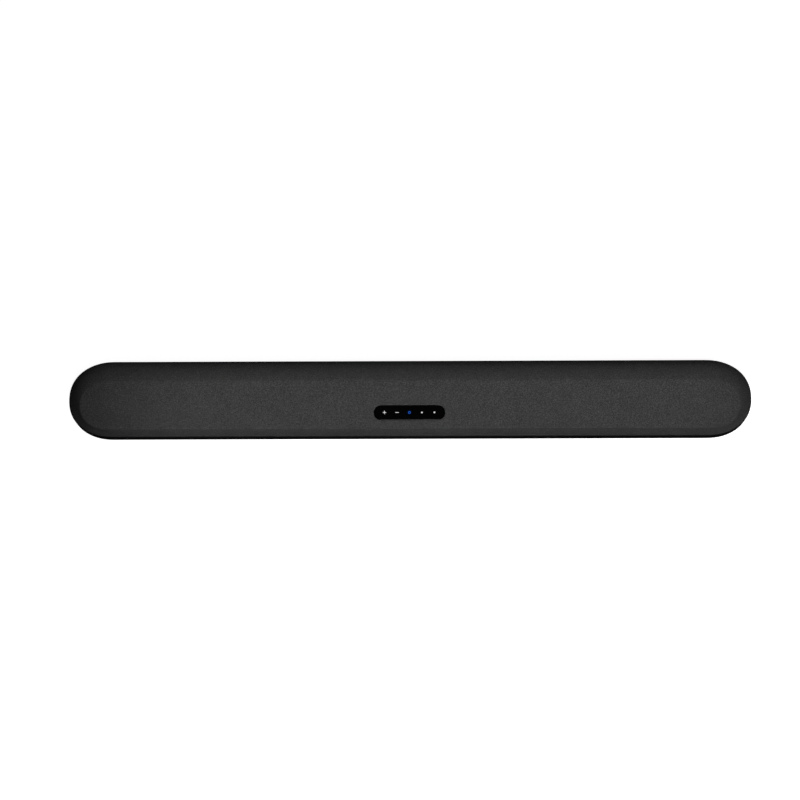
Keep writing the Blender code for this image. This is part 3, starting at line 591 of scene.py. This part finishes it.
# Pressed dark pulp with short fibres.
noise_finish(
    "cone_paper", grey(0.030, 0.04), 0.82,
    tint=(PULP, (0.3, grey(0.022, 0.05)), (0.75, grey(0.050, 0.04))),
    gloss=(PULP, 0.74, 0.92), relief=(PULP, 0.00015, 0.6),
    specular=0.25,
)
noise_finish(
    "dome_silk", grey(0.045, 0.10), 0.70,
    tint=(WEAVE, (0.3, grey(0.035, 0.1)), (0.7, grey(0.060, 0.1))),
    relief=(WEAVE, 0.00005, 0.6),
    more={"Sheen Weight": 0.25},
    specular=0.35,
)
noise_finish(
    "soft_rubber", grey(0.014), 0.78,
    tint=(DUST, (0.35, grey(0.011)), (0.75, grey(0.022, 0.04))),
    gloss=(DUST, 0.70, 0.88), relief=((1800.0, 2.0), 0.00005, 0.7),
    specular=0.3,
)
# A capacitor's dark unprinted sleeve, shrunk tight and faintly wavy.
noise_finish(
    "capacitor_sleeve", (0.018, 0.024, 0.070), 0.30,
    tint=(WAVES, (0.3, (0.014, 0.019, 0.058)), (0.7, (0.024, 0.032, 0.090))),
    gloss=(WAVES, 0.24, 0.40), relief=(WAVES, 0.0002, 0.4),
)


def finished(obj, slot):
    """Gives a piece or a carried CAD node its finish."""
    obj.data.materials.clear()
    obj.data.materials.append(FINISHES[slot])


def piece(bm, name, slot, body="bar", stands_for=(), sharp_angle=SHARP_ANGLE):
    obj = piece_from(bm, name, FINISHES[slot], body, stands_for, sharp_angle)
    return obj


def lofted(rings, closed=False):
    bm = bmesh.new()
    loft(bm, rings, closed)
    return bm


def box_mesh(boxes, radius, segments=2):
    bm = bmesh.new()
    for low, high in boxes:
        rounded_box_into(bm, low, high, radius, segments)
    return bm


def box_piece(name, slot, boxes, radius, segments=2, stands_for=()):
    """Boxes with rounded edges, as one piece."""
    return piece(box_mesh(boxes, radius, segments), name, slot, stands_for=stands_for)


# -------- the fabric cover
def cloth_map(mesh):
    """Lays the cloth's own grid on the cover: along the bar, and round its section."""
    layer = mesh.uv_layers.new(name="cloth")
    for polygon in mesh.polygons:
        x, y, z = (abs(part) for part in polygon.normal)
        if z > 0.6:
            axes = (0, 1)
        else:
            axes = (1, 2) if x > y else (0, 2)
        for index in polygon.loop_indices:
            point = mesh.vertices[mesh.loops[index].vertex_index].co
            layer.data[index].uv = [point[axis] for axis in axes]


def turned_under(depth, radius, steps):
    """The grille's lower edge at a depth under the fabric's face, turning in towards the seam."""
    rings = []
    for i in range(steps + 1):
        turn = math.pi / 2 * i / steps
        z = SEAM + radius * (1 - math.cos(turn))
        inset = COVER_STEP + depth + radius * (1 - math.sin(turn))
        rings.append(outline_ring(wall_share(z, TOP - depth), inset, z))
    return rings


def make_cover():
    """The fabric skin: hem, sides and top, then down into the tuck round the touch panel."""
    tuck = 0.0006
    opening = [panel_ring(GAP + tuck + 0.002, TOP)]
    for i in range(4):
        turn = math.pi / 2 * i / 3
        grow = GAP + tuck * (1 - math.sin(turn))
        opening.append(panel_ring(grow, TOP - tuck * (1 - math.cos(turn))))
    opening.append(panel_ring(GAP, TOP - FABRIC))
    outer = turned_under(0.0, HEM_RADIUS, 6) + side_rings(0.0, SIDE_START, CREASE, 26)
    inner = turned_under(FABRIC, HEM_RADIUS - FABRIC / 2, 6)
    inner += side_rings(FABRIC, SIDE_START, CREASE, 14)
    bm = lofted(outer + opening + inner[::-1], closed=True)
    cover = piece(bm, "fabric_skin", "charcoal_fabric", stands_for=["fabric_cover"], sharp_angle=50)
    cloth_map(cover.data)


def slot_into(bm, at, half_width, half_length, reach, axis):
    """A slot cutter with round ends that runs reach each way along an axis, long in Y or Z."""
    steps = 6
    outline = []
    for side in (1, -1):
        for i in range(steps + 1):
            angle = math.pi * (i / steps - 0.5)
            along = half_length - half_width + half_width * math.cos(angle)
            outline.append((side * half_width * math.sin(angle), side * along))
    x, y, z = at
    rings = []
    for end in (-reach, reach):
        if axis == "Z":
            rings.append([(x + across, y + along, z + end) for across, along in outline])
        else:
            rings.append([(x + across, y + end, z + along) for across, along in outline])
    loft(bm, rings)


def make_frame():
    """The moulded shell under the fabric, with rows of slots over the drivers."""
    depth = FABRIC + GAP
    edge = HEM_RADIUS - FABRIC / 2
    outer = turned_under(depth, edge, 4) + side_rings(depth, SIDE_START, CREASE, 20)
    inner = side_rings(depth + FRAME_WALL, SEAM + 0.0001, CREASE, 12)[::-1]
    opening = [panel_ring(GAP, TOP - depth), panel_ring(GAP, TOP - depth - FRAME_WALL)]
    bm = lofted(outer + opening + inner, closed=True)
    shell = piece(bm, "grille_frame_shell", "frame_plastic", stands_for=["grille_frame"])
    slots, lugs, bores = bmesh.new(), bmesh.new(), bmesh.new()
    low, high = SEAM + 0.0032, DRIVER_Z + 0.0150
    half, z = (high - low) / 2, (low + high) / 2
    for side in (-1, 1):
        for middle, count in ((side * WOOFER_X, 10), (side * TWEETER_X, 3)):
            for i in range(count):
                x = middle + (i - (count - 1) / 2) * WINDOW_PITCH
                slot_into(slots, (x, -DEPTH / 2, z), WINDOW_SLOT / 2, half, FRONT_WINDOW_REACH, "Y")
        for i in range(6):
            at = (side * TOP_DRIVER_X + (i - 2.5) * WINDOW_PITCH, TOP_DRIVER_Y, TOP)
            slot_into(slots, at, WINDOW_SLOT / 2, TOP_WINDOW_HALF, TOP_WINDOW_REACH, "Z")
    outer_y = DEPTH / 2 - COVER_STEP - depth - 0.9 * FRAME_WALL
    for name in SCREWS:
        x, y, _ = centre(*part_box(name))
        front, rear = sorted((math.copysign(LUG_INNER_Y, y), math.copysign(outer_y, y)))
        corners = (x - LUG_HALF, front, SEAM + 0.0004), (x + LUG_HALF, rear, SEAM + LUG_HEIGHT)
        rounded_box_into(lugs, *corners)
        round_cutter_into(bores, name, BORE_RADIUS, SEAM - 0.004, SEAM + BORE_DEPTH)
    cut(shell, [cutter(slots)])
    cut(shell, [cutter(lugs)], "UNION")
    carve(shell, "frame_plastic", cutter(bores))


# -------- the base
def box_cutter(boxes, radius=0.0006):
    return cutter(box_mesh(boxes, radius))


def round_cutter_into(bm, node, radius, z_low, z_high):
    """A round hole about a CAD node's upright axis."""
    x, y, _ = centre(*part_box(node))
    pillar_into(bm, moved_to(x, y), radius, z_low, z_high)


def base_shell_rings():
    """The tub from its rounded lower edge, over the softened rim, down to the floor inside."""
    bottom, rim = BASE_LOW.z, BASE_HIGH.z
    rings = []
    for i in range(9):
        turn = math.pi / 2 * i / 8
        inset = BASE_EDGE * (1 - math.sin(turn)) + 0.0001
        rings.append(outline_ring(0, inset, bottom + BASE_EDGE * (1 - math.cos(turn))))
    for inset, under in ((0.0, 0.0022), (0.0, 0.0005), (0.00015, 0.00015), (0.0005, 0.0)):
        rings.append(outline_ring(0, inset, rim - under))
    return rings + [outline_ring(0, BASE_WALL, rim), outline_ring(0, BASE_WALL, FLOOR_TOP)]


def floor_boxes(places, size, height):
    """Boxes of one size that go up from under the floor, each at an (x, y) place."""
    half_x, half_y = size[0] / 2, size[1] / 2
    return [((x - half_x, y - half_y, 0.0), (x + half_x, y + half_y, height)) for x, y in places]


def make_base():
    """The black tub, with the connector bay let into its back and vents through its floor."""
    bm = lofted(base_shell_rings())
    base = piece(bm, "base_shell", "base_plastic", stands_for=["base_housing"])
    low = (-BAY_HALF - BAY_WALL, BAY_FACE_Y - BAY_WALL, FLOOR_TOP - 0.0015)
    high = (BAY_HALF + BAY_WALL, DEPTH / 2 - BASE_WALL / 2, BAY_ROOF_Z + BAY_ROOF)
    posts, wells, recesses = bmesh.new(), bmesh.new(), bmesh.new()
    for name in SCREWS:
        head_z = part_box(name)[0].z
        round_cutter_into(posts, name, POST_RADIUS, FLOOR_TOP - 0.0012, BASE_HIGH.z - GAP)
        round_cutter_into(wells, name, WELL_RADIUS, 0.0, head_z + WELL_DEPTH)
        round_cutter_into(wells, name, BORE_RADIUS, head_z, BASE_HIGH.z + 0.01)
    for x in BOARD_POSTS_X:
        for y in BOARD_POSTS_Y:
            pillar_into(posts, moved_to(x, y), *BOARD_POST, steps=10)
    cut(base, [box_cutter([(low, high)], 0.0002), cutter(posts)], "UNION")
    low_y, high_y = BAY_FACE_Y - 0.006, BAY_FACE_Y + 0.002
    windows = []
    for x, half in SOCKET_WINDOWS:
        windows.append(((x - half, low_y, WINDOW_LOW_Z), (x + half, high_y, WINDOW_HIGH_Z)))
    vents = [(x, VENT_FIRST_Y + i * VENT_PITCH) for x in VENT_COLUMNS for i in range(VENT_ROWS)]
    keyholes = [centre(*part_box(name))[:2] for name in KEYHOLE_PLATES]
    for name in FEET:
        low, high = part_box(name)
        loft(recesses, [oblong_about(low, high, GAP, z, (10, 1)) for z in (0.0, high.z + GAP)])
    carve(
        base,
        "base_plastic",
        box_cutter([((-BAY_HALF, BAY_FACE_Y, -0.01), (BAY_HALF, DEPTH, BAY_ROOF_Z))]),
        box_cutter(windows),
        box_cutter(floor_boxes(vents, VENT_SIZE, 0.008)),
        box_cutter(floor_boxes(keyholes, KEYHOLE_SPACE, 0.010)),
        cutter(wells),
        cutter(recesses),
    )


# From the middle of a rubber foot's sole outwards: how far in, and the height.
SOLE = ((0.0012, 0.0004), (0.0009, 0.0001), (0.0006, 0.0), (0.0002, 0.0002), (0.0, 0.0007))


def make_feet():
    """Rubber pads with rounded soles."""
    for name in FEET:
        low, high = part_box(name)
        rings = [oblong_about(low, high, -inset, low.z + height, (12, 2)) for inset, height in SOLE]
        rings.append(oblong_about(low, high, 0.0, high.z, (12, 2)))
        piece(lofted(rings), f"{name}_pad", "soft_rubber", stands_for=[name])


# A screw's head from its middle outwards, over its underside, and the ridges of its thread.
PAN_RADII = (0.0, 0.0012, 0.0019, 0.0022, 0.0022, 0.0021)
PAN_HEIGHTS = (0.0, 0.0, 0.0002, 0.0006, 0.0017, 0.0018)
THREAD_TURNS, THREAD_ROOT, THREAD_CREST = 16, 0.00085, 0.0010


def make_screws():
    """Pan heads with a cross recess, at the bottom of their wells, and their threads above."""
    for name in SCREWS:
        low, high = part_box(name)
        x, y, _ = centre(low, high)
        profile = [(radius, low.z + height, 0) for radius, height in zip(PAN_RADII, PAN_HEIGHTS)]
        pitch = (high.z - 0.0010 - low.z - 0.0020) / THREAD_TURNS
        for i in range(THREAD_TURNS):
            z = low.z + 0.0020 + i * pitch
            profile += [(THREAD_ROOT, z, 0), (THREAD_CREST, z + pitch / 2, 0)]
        profile += [(0.0008, high.z - 0.0009, 0), (0.0, high.z, 0)]
        bm = bmesh.new()
        turned_into(bm, profile, steps=12, place=moved_to(x, y))
        screw = piece(bm, f"{name}_pan_head", "black_steel", stands_for=[name])
        cross = []
        for half_x, half_y in ((0.0013, 0.00028), (0.00028, 0.0013)):
            ends = (x - half_x, y - half_y, low.z - 0.001), (x + half_x, y + half_y, low.z + 0.0009)
            cross.append(box_cutter([ends], 0.00008))
        carve(screw, "black_steel", *cross)


# -------- the touch panel
def make_panel():
    """A gloss slot with a soft edge, and the five marks let into it."""
    bottom, top = PANEL_LOW.z, PANEL_HIGH.z
    edge = 0.0005
    rings = [panel_ring(0.0, bottom)]
    for i in range(6):
        turn = math.pi / 2 * i / 5
        rings.append(panel_ring(-edge * (1 - math.cos(turn)), top - edge * (1 - math.sin(turn))))
    panel = piece(lofted(rings), "touch_glass", "panel_gloss", stands_for=["touch_panel"])
    pockets = []
    for name, shape in MARKS.items():
        low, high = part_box(name)
        pocket = bmesh.new()
        shape(pocket, low, high, low.z, high.z + 0.001, 0.00004)
        pockets.append(cutter(pocket))
        mark = bmesh.new()
        shape(mark, low, high, low.z, high.z - 0.00002, 0.0)
        slot = "icon_blue" if name == "ring_light" else "icon_white"
        piece(mark, f"{name}_inlay", slot, stands_for=[name])
    carve(panel, "panel_gloss", *pockets)


def plus_mark(bm, low, high, z_low, z_high, grow):
    """A plus with round arm ends, as one outline."""
    x, y, _ = centre(low, high)
    reach, half = (high.x - low.x) / 2 + grow, 0.0004 + grow
    outline = []
    for quarter in range(4):
        turn = Matrix.Rotation(quarter * math.pi / 2, 2)
        arm = [(half, half)]
        for i in range(7):
            angle = math.pi * (i / 6 - 0.5)
            arm.append((half * math.sin(-angle), reach - half + half * math.cos(angle)))
        for px, py in (turn @ Vector(point) for point in arm):
            outline.append((x + px, y + py))
    loft(bm, [[(px, py, z) for px, py in outline] for z in (z_low, z_high)])


def minus_mark(bm, low, high, z_low, z_high, grow):
    loft(bm, [oblong_about(low, high, grow, z, (6, 1)) for z in (z_low, z_high)])


def disc_mark(bm, low, high, z_low, z_high, grow):
    x, y, _ = centre(low, high)
    pillar_into(bm, moved_to(x, y), (high.x - low.x) / 2 + grow, z_low, z_high, steps=16)


def ring_mark(bm, low, high, z_low, z_high, grow):
    x, y, _ = centre(low, high)
    outer, inner = (high.x - low.x) / 2 + grow, 0.0008 - grow
    profile = [(outer, z_low, 0), (outer, z_high, 0), (inner, z_high, 0), (inner, z_low, 0)]
    turned_into(bm, profile, closed=True, steps=16, place=moved_to(x, y))


MARKS = {
    "plus_icon": plus_mark,
    "minus_icon": minus_mark,
    "ring_light": ring_mark,
    "left_lamp": disc_mark,
    "right_lamp": disc_mark,
}


# -------- the connector bay
def mouth_cutter(low, high, outline, depth):
    """A socket's opening: an outline about the middle of its face, cut this deep."""
    x, _, z = centre(low, high)
    depths = (high.y - depth, high.y + 0.001)
    return cutter(lofted([[(x + a, y, z + b) for a, b in outline] for y in depths]))


def make_hdmi_socket():
    """A folded steel shell whose mouth narrows at the bottom, with its contact tongue inside."""
    low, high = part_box("hdmi_socket")
    shell = box_piece("hdmi_shell", "steel", [(low, high)], 0.0007, 3, ["hdmi_socket"])
    x, z, chamfer = 0.0070, 0.0024, 0.0013
    near, low_z = x - chamfer, chamfer - z
    outline = [(-x, z), (x, z), (x, low_z), (near, -z), (-near, -z), (-x, low_z)]
    carve(shell, "steel", mouth_cutter(low, high, outline, 0.0095))
    x, _, z = centre(low, high)
    y = high.y
    corners = (x - 0.0056, y - 0.0093, z), (x + 0.0056, y - 0.0018, z + 0.0010)
    box_piece("hdmi_tongue", "socket_plastic", [corners], 0.00015)
    contacts = []
    for i in range(10):
        at = x - 0.0045 + i * 0.0010
        corners = (at - 0.00025, y - 0.0090, z - 0.00012), (at + 0.00025, y - 0.0024, z + 0.00004)
        contacts.append(corners)
    box_piece("hdmi_contacts", "steel", contacts, 0.00003, 1)


def make_optical_socket():
    """A square port with chamfered upper corners and a spring shutter just inside."""
    low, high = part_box("optical_socket")
    port = box_piece("optical_port", "socket_plastic", [(low, high)], 0.0005, 3, ["optical_socket"])
    half, chamfer = 0.0039, 0.0012
    near = half - chamfer
    upper = [(half, near), (near, half), (-near, half), (-half, near)]
    outline = [(-half, -half), (half, -half)] + upper
    carve(port, "socket_plastic", mouth_cutter(low, high, outline, 0.0070))
    x, _, z = centre(low, high)
    left_low = (x - half + 0.0003, high.y - 0.0022, z - half + 0.0003)
    right_high = (x + half - 0.0003, high.y - 0.0014, z + half - 0.0014)
    box_piece("optical_shutter", "socket_plastic", [(left_low, right_high)], 0.0002)


def make_mains_inlet():
    """A two-pin inlet: two round wells joined by a narrower waist, with a pin in each."""
    low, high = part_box("mains_inlet")
    body = [(low, high)]
    inlet = box_piece("mains_inlet_body", "socket_plastic", body, 0.0008, 3, ["mains_inlet"])
    x, _, z = centre(low, high)
    y, pin_x = high.y, 0.0043
    back = Matrix.Rotation(math.radians(-90), 4, "X")
    pin = [(0.0, -0.0125, 0), (0.0012, -0.0125, 0), (0.0012, -0.0028, 0), (0.0, -0.0016, 0)]
    wells, pins = [], bmesh.new()
    for side in (-1, 1):
        place = moved_to(x + side * pin_x, y, z) @ back
        well = bmesh.new()
        pillar_into(well, place, 0.0040, -0.012, 0.001, steps=16)
        wells.append(cutter(well))
        turned_into(pins, rounded(pin, 0.0008, 4), steps=10, place=place)
    waist = ((x - pin_x, y - 0.012, z - 0.0030), (x + pin_x, y + 0.001, z + 0.0030))
    wells.append(box_cutter([waist], 0.0001))
    carve(inlet, "socket_plastic", *wells)
    piece(pins, "mains_pins", "steel")


def make_plates():
    """The painted plate round the sockets, and the keyhole plates in the floor."""
    softened("connector_panel", "black_steel", 0.00015)
    for name in KEYHOLE_PLATES:
        softened(name, "steel", 0.0003)


# -------- the speakers
# Profiles of the 40 mm driver in millimetres: (radius, height, share of the racetrack's straight).
# Height 0 is the back face of the basket's flange, and the cone faces up.
BASKET = [
    (20.0, 0.0, 1), (20.0, 1.4, 1), (16.2, 1.4, 1), (16.2, -3.6, 1), (9.9, -11.4, 0),
    (9.9, -12.6, 0), (12.9, -12.6, 0), (17.5, -4.0, 1), (17.5, 0.0, 1),
]
MOTOR = [
    (0.0, -12.9, 0), (7.7, -12.9, 0), (7.7, -20.8, 0), (9.1, -20.8, 0), (9.1, -12.9, 0),
    (13.2, -12.9, 0), (13.2, -15.0, 0), (14.4, -15.2, 0), (14.4, -22.0, 0), (13.2, -22.2, 0),
    (13.2, -24.3, 0), (0.0, -24.3, 0),
]
CONE = [
    (0.0, -3.1, 0), (2.6, -3.3, 0), (4.6, -3.8, 0), (8.4, -5.8, 0), (11.9, -2.9, 0.5),
    (15.5, 0.9, 1), (15.5, 0.3, 1), (12.0, -3.6, 0.5), (8.7, -6.6, 0), (8.7, -16.4, 0),
    (8.2, -16.4, 0), (8.2, -6.4, 0), (4.5, -4.5, 0), (0.0, -3.8, 0),
]
SURROUND = [
    (19.0, 1.7, 1), (19.0, 2.3, 1), (18.5, 2.3, 1), (18.0, 2.9, 1), (17.2, 3.2, 1), (16.4, 2.7, 1),
    (16.0, 1.8, 1), (15.95, 0.6, 1), (15.75, 0.6, 1), (15.7, 1.9, 1), (16.2, 2.9, 1),
    (17.2, 3.5, 1), (18.2, 3.2, 1), (18.7, 2.6, 1),
]
TWEETER_PLATE = [(13.3, 0.3, 0), (19.0, 0.3, 0), (19.0, 1.6, 0), (15.5, 2.3, 0), (13.3, 1.2, 0)]
TWEETER_MOTOR = [
    (0.0, -2.0, 0), (11.7, -2.0, 0), (11.7, -7.0, 0), (13.1, -7.0, 0), (13.1, -0.6, 0),
    (15.2, -0.6, 0), (15.2, -12.0, 0), (0.0, -12.0, 0),
]
TWEETER_DOME = [
    (0.0, 4.6, 0), (5.0, 4.0, 0), (9.2, 2.4, 0), (12.6, -0.2, 0), (12.6, -4.0, 0), (12.2, -4.0, 0),
    (12.2, -0.6, 0), (7.0, 2.6, 0), (0.0, 4.0, 0),
]


def make_turned(name, profile, slot, node, place, body="bar", radius=0.0003, closed=False, **sizes):
    """One of a driver's pieces, turned from its profile with rounded corners."""
    straight, scale = sizes.get("straight", 0.0), sizes.get("scale", 1.0)
    sized = [(r * scale / 1000, h * scale / 1000, share) for r, h, share in profile]
    bm = bmesh.new()
    turned_into(bm, rounded(sized, radius * scale, closed=closed), straight, closed, 32, place)
    return piece(bm, name, slot, body, [node], sharp_angle=40)


def basket_windows(place, straight, scale):
    """Openings through the sloping wall of a basket."""
    low = (0.0108 * scale, -0.0030 * scale, -0.0108 * scale)
    high = (0.0300 * scale + straight, 0.0030 * scale, -0.0050 * scale)
    bm = bmesh.new()
    count = 8
    for i in range(count):
        angle = 2 * math.pi * (i + 0.5) / count
        shift = straight * 0.5 if math.cos(angle) > 0 else -straight * 0.5
        before = set(bm.verts)
        rounded_box_into(bm, low, high, 0.0006)
        made = [v for v in bm.verts if v not in before]
        turn = moved_to(shift, 0) @ Matrix.Rotation(angle, 4, "Z")
        bmesh.ops.transform(bm, matrix=place @ turn, verts=made)
    return cutter(bm)


def make_cone_driver(name, at, facing, straight=0.0, scale=1.0):
    place = Matrix.Translation(at) @ facing
    cone = f"{name}_cone"
    sizes = {"straight": straight, "scale": scale}
    node = f"{name}_basket"
    basket = make_turned(f"{node}_frame", BASKET, "black_steel", node, place, closed=True, **sizes)
    carve(basket, "black_steel", basket_windows(place, straight, scale))
    make_turned(f"{name}_magnet", MOTOR, "ferrite", f"{name}_motor", place, scale=scale)
    make_turned(f"{name}_paper_cone", CONE, "cone_paper", cone, place, cone, radius=0.0006, **sizes)
    node, roll = f"{name}_surround", f"{name}_roll"
    roll = make_turned(roll, SURROUND, "soft_rubber", node, place, None, closed=True, **sizes)
    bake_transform(roll)


def make_tweeter(name, at, facing):
    place = Matrix.Translation(at) @ facing
    dome = f"{name}_dome"
    make_turned(f"{name}_ring", TWEETER_PLATE, "frame_plastic", f"{name}_plate", place, closed=True)
    make_turned(f"{name}_magnet", TWEETER_MOTOR, "ferrite", f"{name}_motor", place)
    make_turned(f"{name}_silk_dome", TWEETER_DOME, "dome_silk", dome, place, dome, radius=0.0015)


def make_speakers():
    facing_front, facing_up = Matrix.Rotation(math.radians(90), 4, "X"), Matrix.Identity(4)
    top_flange = 0.0014 * TOP_DRIVER_SCALE
    for name, side in (("left", -1), ("right", 1)):
        at = (side * WOOFER_X, BOX_FRONT_Y - GAP, DRIVER_Z)
        make_cone_driver(f"{name}_woofer", at, facing_front, WOOFER_STRAIGHT)
        make_tweeter(f"{name}_tweeter", (side * TWEETER_X, BOX_FRONT_Y, DRIVER_Z), facing_front)
        at = (side * TOP_DRIVER_X, TOP_DRIVER_Y, BOX_TOP_Z - BOX_WALL - GAP - top_flange)
        make_cone_driver(f"{name}_top_driver", at, facing_up, 0.0, TOP_DRIVER_SCALE)
        softened(f"{name}_speaker_box", "cabinet_plastic", 0.0008)
        softened(f"{name}_box_lid", "cabinet_plastic", 0.0005)


# -------- the electronics
def make_electronics():
    for name in ("main_board", "power_board", "touch_board"):
        softened(name, "circuit_board", 0.0002)
    softened("processor_shield", "steel", 0.0004)
    softened("wireless_module", "steel", 0.0003)
    softened("power_transformer", "ferrite", 0.0004)
    softened("amplifier_heat_sink", "aluminium", 0.0002)
    softened("touch_ribbon_cable", "ribbon_plastic", 0.00008)
    softened("light_guide", "clear_plastic", 0.0001)
    low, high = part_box("bulk_capacitor")
    x, y, _ = centre(low, high)
    radius, height = (high.x - low.x) / 2, high.z - low.z
    groove = [(radius, 0.0024, 0), (radius - 0.0006, 0.0030, 0), (radius, 0.0036, 0)]
    rim = [(radius, height - 0.0006, 0), (radius - 0.0010, height, 0)]
    lid = [(radius - 0.0014, height - 0.0003, 0), (0.0, height - 0.0003, 0)]
    profile = rounded([(0.0, 0.0, 0), (radius, 0.0, 0)] + groove + rim + lid, 0.0003)
    bm = bmesh.new()
    turned_into(bm, profile, place=moved_to(x, y, low.z))
    piece(bm, "bulk_capacitor_can", "capacitor_sleeve", stands_for=["bulk_capacitor"])


# -------- the stage
CAMERA_TILT = math.radians(12)  # from straight down, towards the front
CAMERA_TURN = math.radians(0.75)  # and towards the right
CAMERA_ROLL = math.radians(0.188)
CAMERA_DISTANCE = 3.5
SEEN_WIDTH = 1.1940  # of the plane through AIM
AIM = Vector((-0.0143, -0.0031, 0.030))
SENSOR = 36.0
FLOOR_PAINTED_SHADOW, FLOOR_LIT = 0.06, 0.85  # its glow under the bar, dimmed there as a painted shadow, and past the bar's edge
PAINTED_SHADOW_EDGE = (0.012, 0.001)  # the painted shadow ends between these distances in from the edge
SKY, GLOSSY_SKY = 0.38, 0.05  # the sky's level on matt surfaces and in reflections
KEY_HEIGHT, KEY_AWAY = math.radians(55), 0.85  # where the light stands, seen from the bar


def make_camera():
    data = bpy.data.cameras.new("camera")
    camera = bpy.data.objects.new("camera", data)
    bpy.context.scene.collection.objects.link(camera)
    tilt = Matrix.Rotation(CAMERA_TILT, 4, "X") @ Matrix.Rotation(CAMERA_TURN, 4, "Y")
    turn = tilt @ Matrix.Rotation(-CAMERA_ROLL, 4, "Z")
    back = turn.to_3x3() @ Vector((0.0, 0.0, 1.0))
    camera.matrix_world = Matrix.Translation(AIM + back * CAMERA_DISTANCE) @ turn
    data.sensor_width = SENSOR
    data.lens = SENSOR * CAMERA_DISTANCE / SEEN_WIDTH
    bpy.context.scene.camera = camera


def make_floor():
    """A plain white sweep, with a shadow painted into its glow under the bar; it throws no light
    back on the bar.
    """
    bm = bmesh.new()
    bmesh.ops.create_grid(bm, x_segments=2, y_segments=2, size=40.0)
    floor = piece_from(bm, "floor", None, body=None)
    made = Finish("floor_white", grey(0.80), 0.9, specular=0.0)
    # The distance from the bar's middle line, which runs between the centres of its round ends.
    x, y, _ = made.split(made.place())
    past_end = made.maths("SUBTRACT", made.maths("ABSOLUTE", x), (LENGTH - DEPTH) / 2)
    past_end = made.maths("MAXIMUM", past_end, 0.0)
    squares = [made.maths("MULTIPLY", axis, axis) for axis in (past_end, y)]
    distance = made.maths("SQRT", made.maths("ADD", *squares))
    start, stop = (DEPTH / 2 - inside for inside in PAINTED_SHADOW_EDGE)
    # The floor's glow drops under the bar: a painted shadow, not one cast by a light.
    glow = made.between(distance, FLOOR_PAINTED_SHADOW, FLOOR_LIT, start, stop)
    made.wire({"Emission Color": (1.0, 1.0, 1.0), "Emission Strength": glow})
    floor.data.materials.append(made.material)
    floor.visible_diffuse = False
    floor.visible_glossy = False


def area_light(name, place, aim, size, power, spread):
    """A rectangle of light at a place, turned to aim, its spread in degrees."""
    data = bpy.data.lights.new(name, "AREA")
    data.shape = "RECTANGLE"
    data.size, data.size_y = size
    data.energy = power
    data.spread = math.radians(spread)
    light = bpy.data.objects.new(name, data)
    bpy.context.scene.collection.objects.link(light)
    light.location = place
    light.rotation_euler = (Vector(aim) - Vector(place)).to_track_quat("-Z", "Y").to_euler()


def make_world():
    """White to the camera, and a dim sky on the bar, dark from the left and from below."""
    world = bpy.data.worlds.new("studio")
    bpy.context.scene.world = world
    world.use_nodes = True
    made = Nodes(world.node_tree)
    x, _, z = made.split(made.add("ShaderNodeTexCoord")["Generated"])
    path = made.add("ShaderNodeLightPath")
    above = made.between(z, 0.0, 1.0, -0.05, 0.05)
    sideways = made.between(x, 0.0, 1.0, -0.9, 0.3)
    level = made.between(path["Is Glossy Ray"], SKY, GLOSSY_SKY)
    sky = made.maths("MULTIPLY", made.maths("MULTIPLY", above, sideways), level)
    values = {"Factor": path["Is Camera Ray"], "A": sky, "B": 1.0}
    seen = made.add("ShaderNodeMix", values)["Result"]
    made.feed(made.tree.nodes["Background"], {"Color": (1.0, 1.0, 1.0), "Strength": seen})


def make_lights():
    place = (0.08, -KEY_AWAY * math.cos(KEY_HEIGHT), KEY_AWAY * math.sin(KEY_HEIGHT))
    area_light("key_strip", place, (0.05, 0.0, 0.04), (0.98, 0.30), 0.91, 24)
    make_world()
    bpy.context.scene.view_settings.view_transform = "Standard"


# -------- putting it together
for record_entry in frame["record"]["subparts"]:
    finished(NODES[record_entry["node"]], record_entry["material_slot"])
make_camera()
make_lights()
make_floor()
make_frame()
make_cover()
make_base()
make_feet()
make_screws()
make_panel()
make_hdmi_socket()
make_optical_socket()
make_mains_inlet()
make_plates()
make_speakers()
make_electronics()
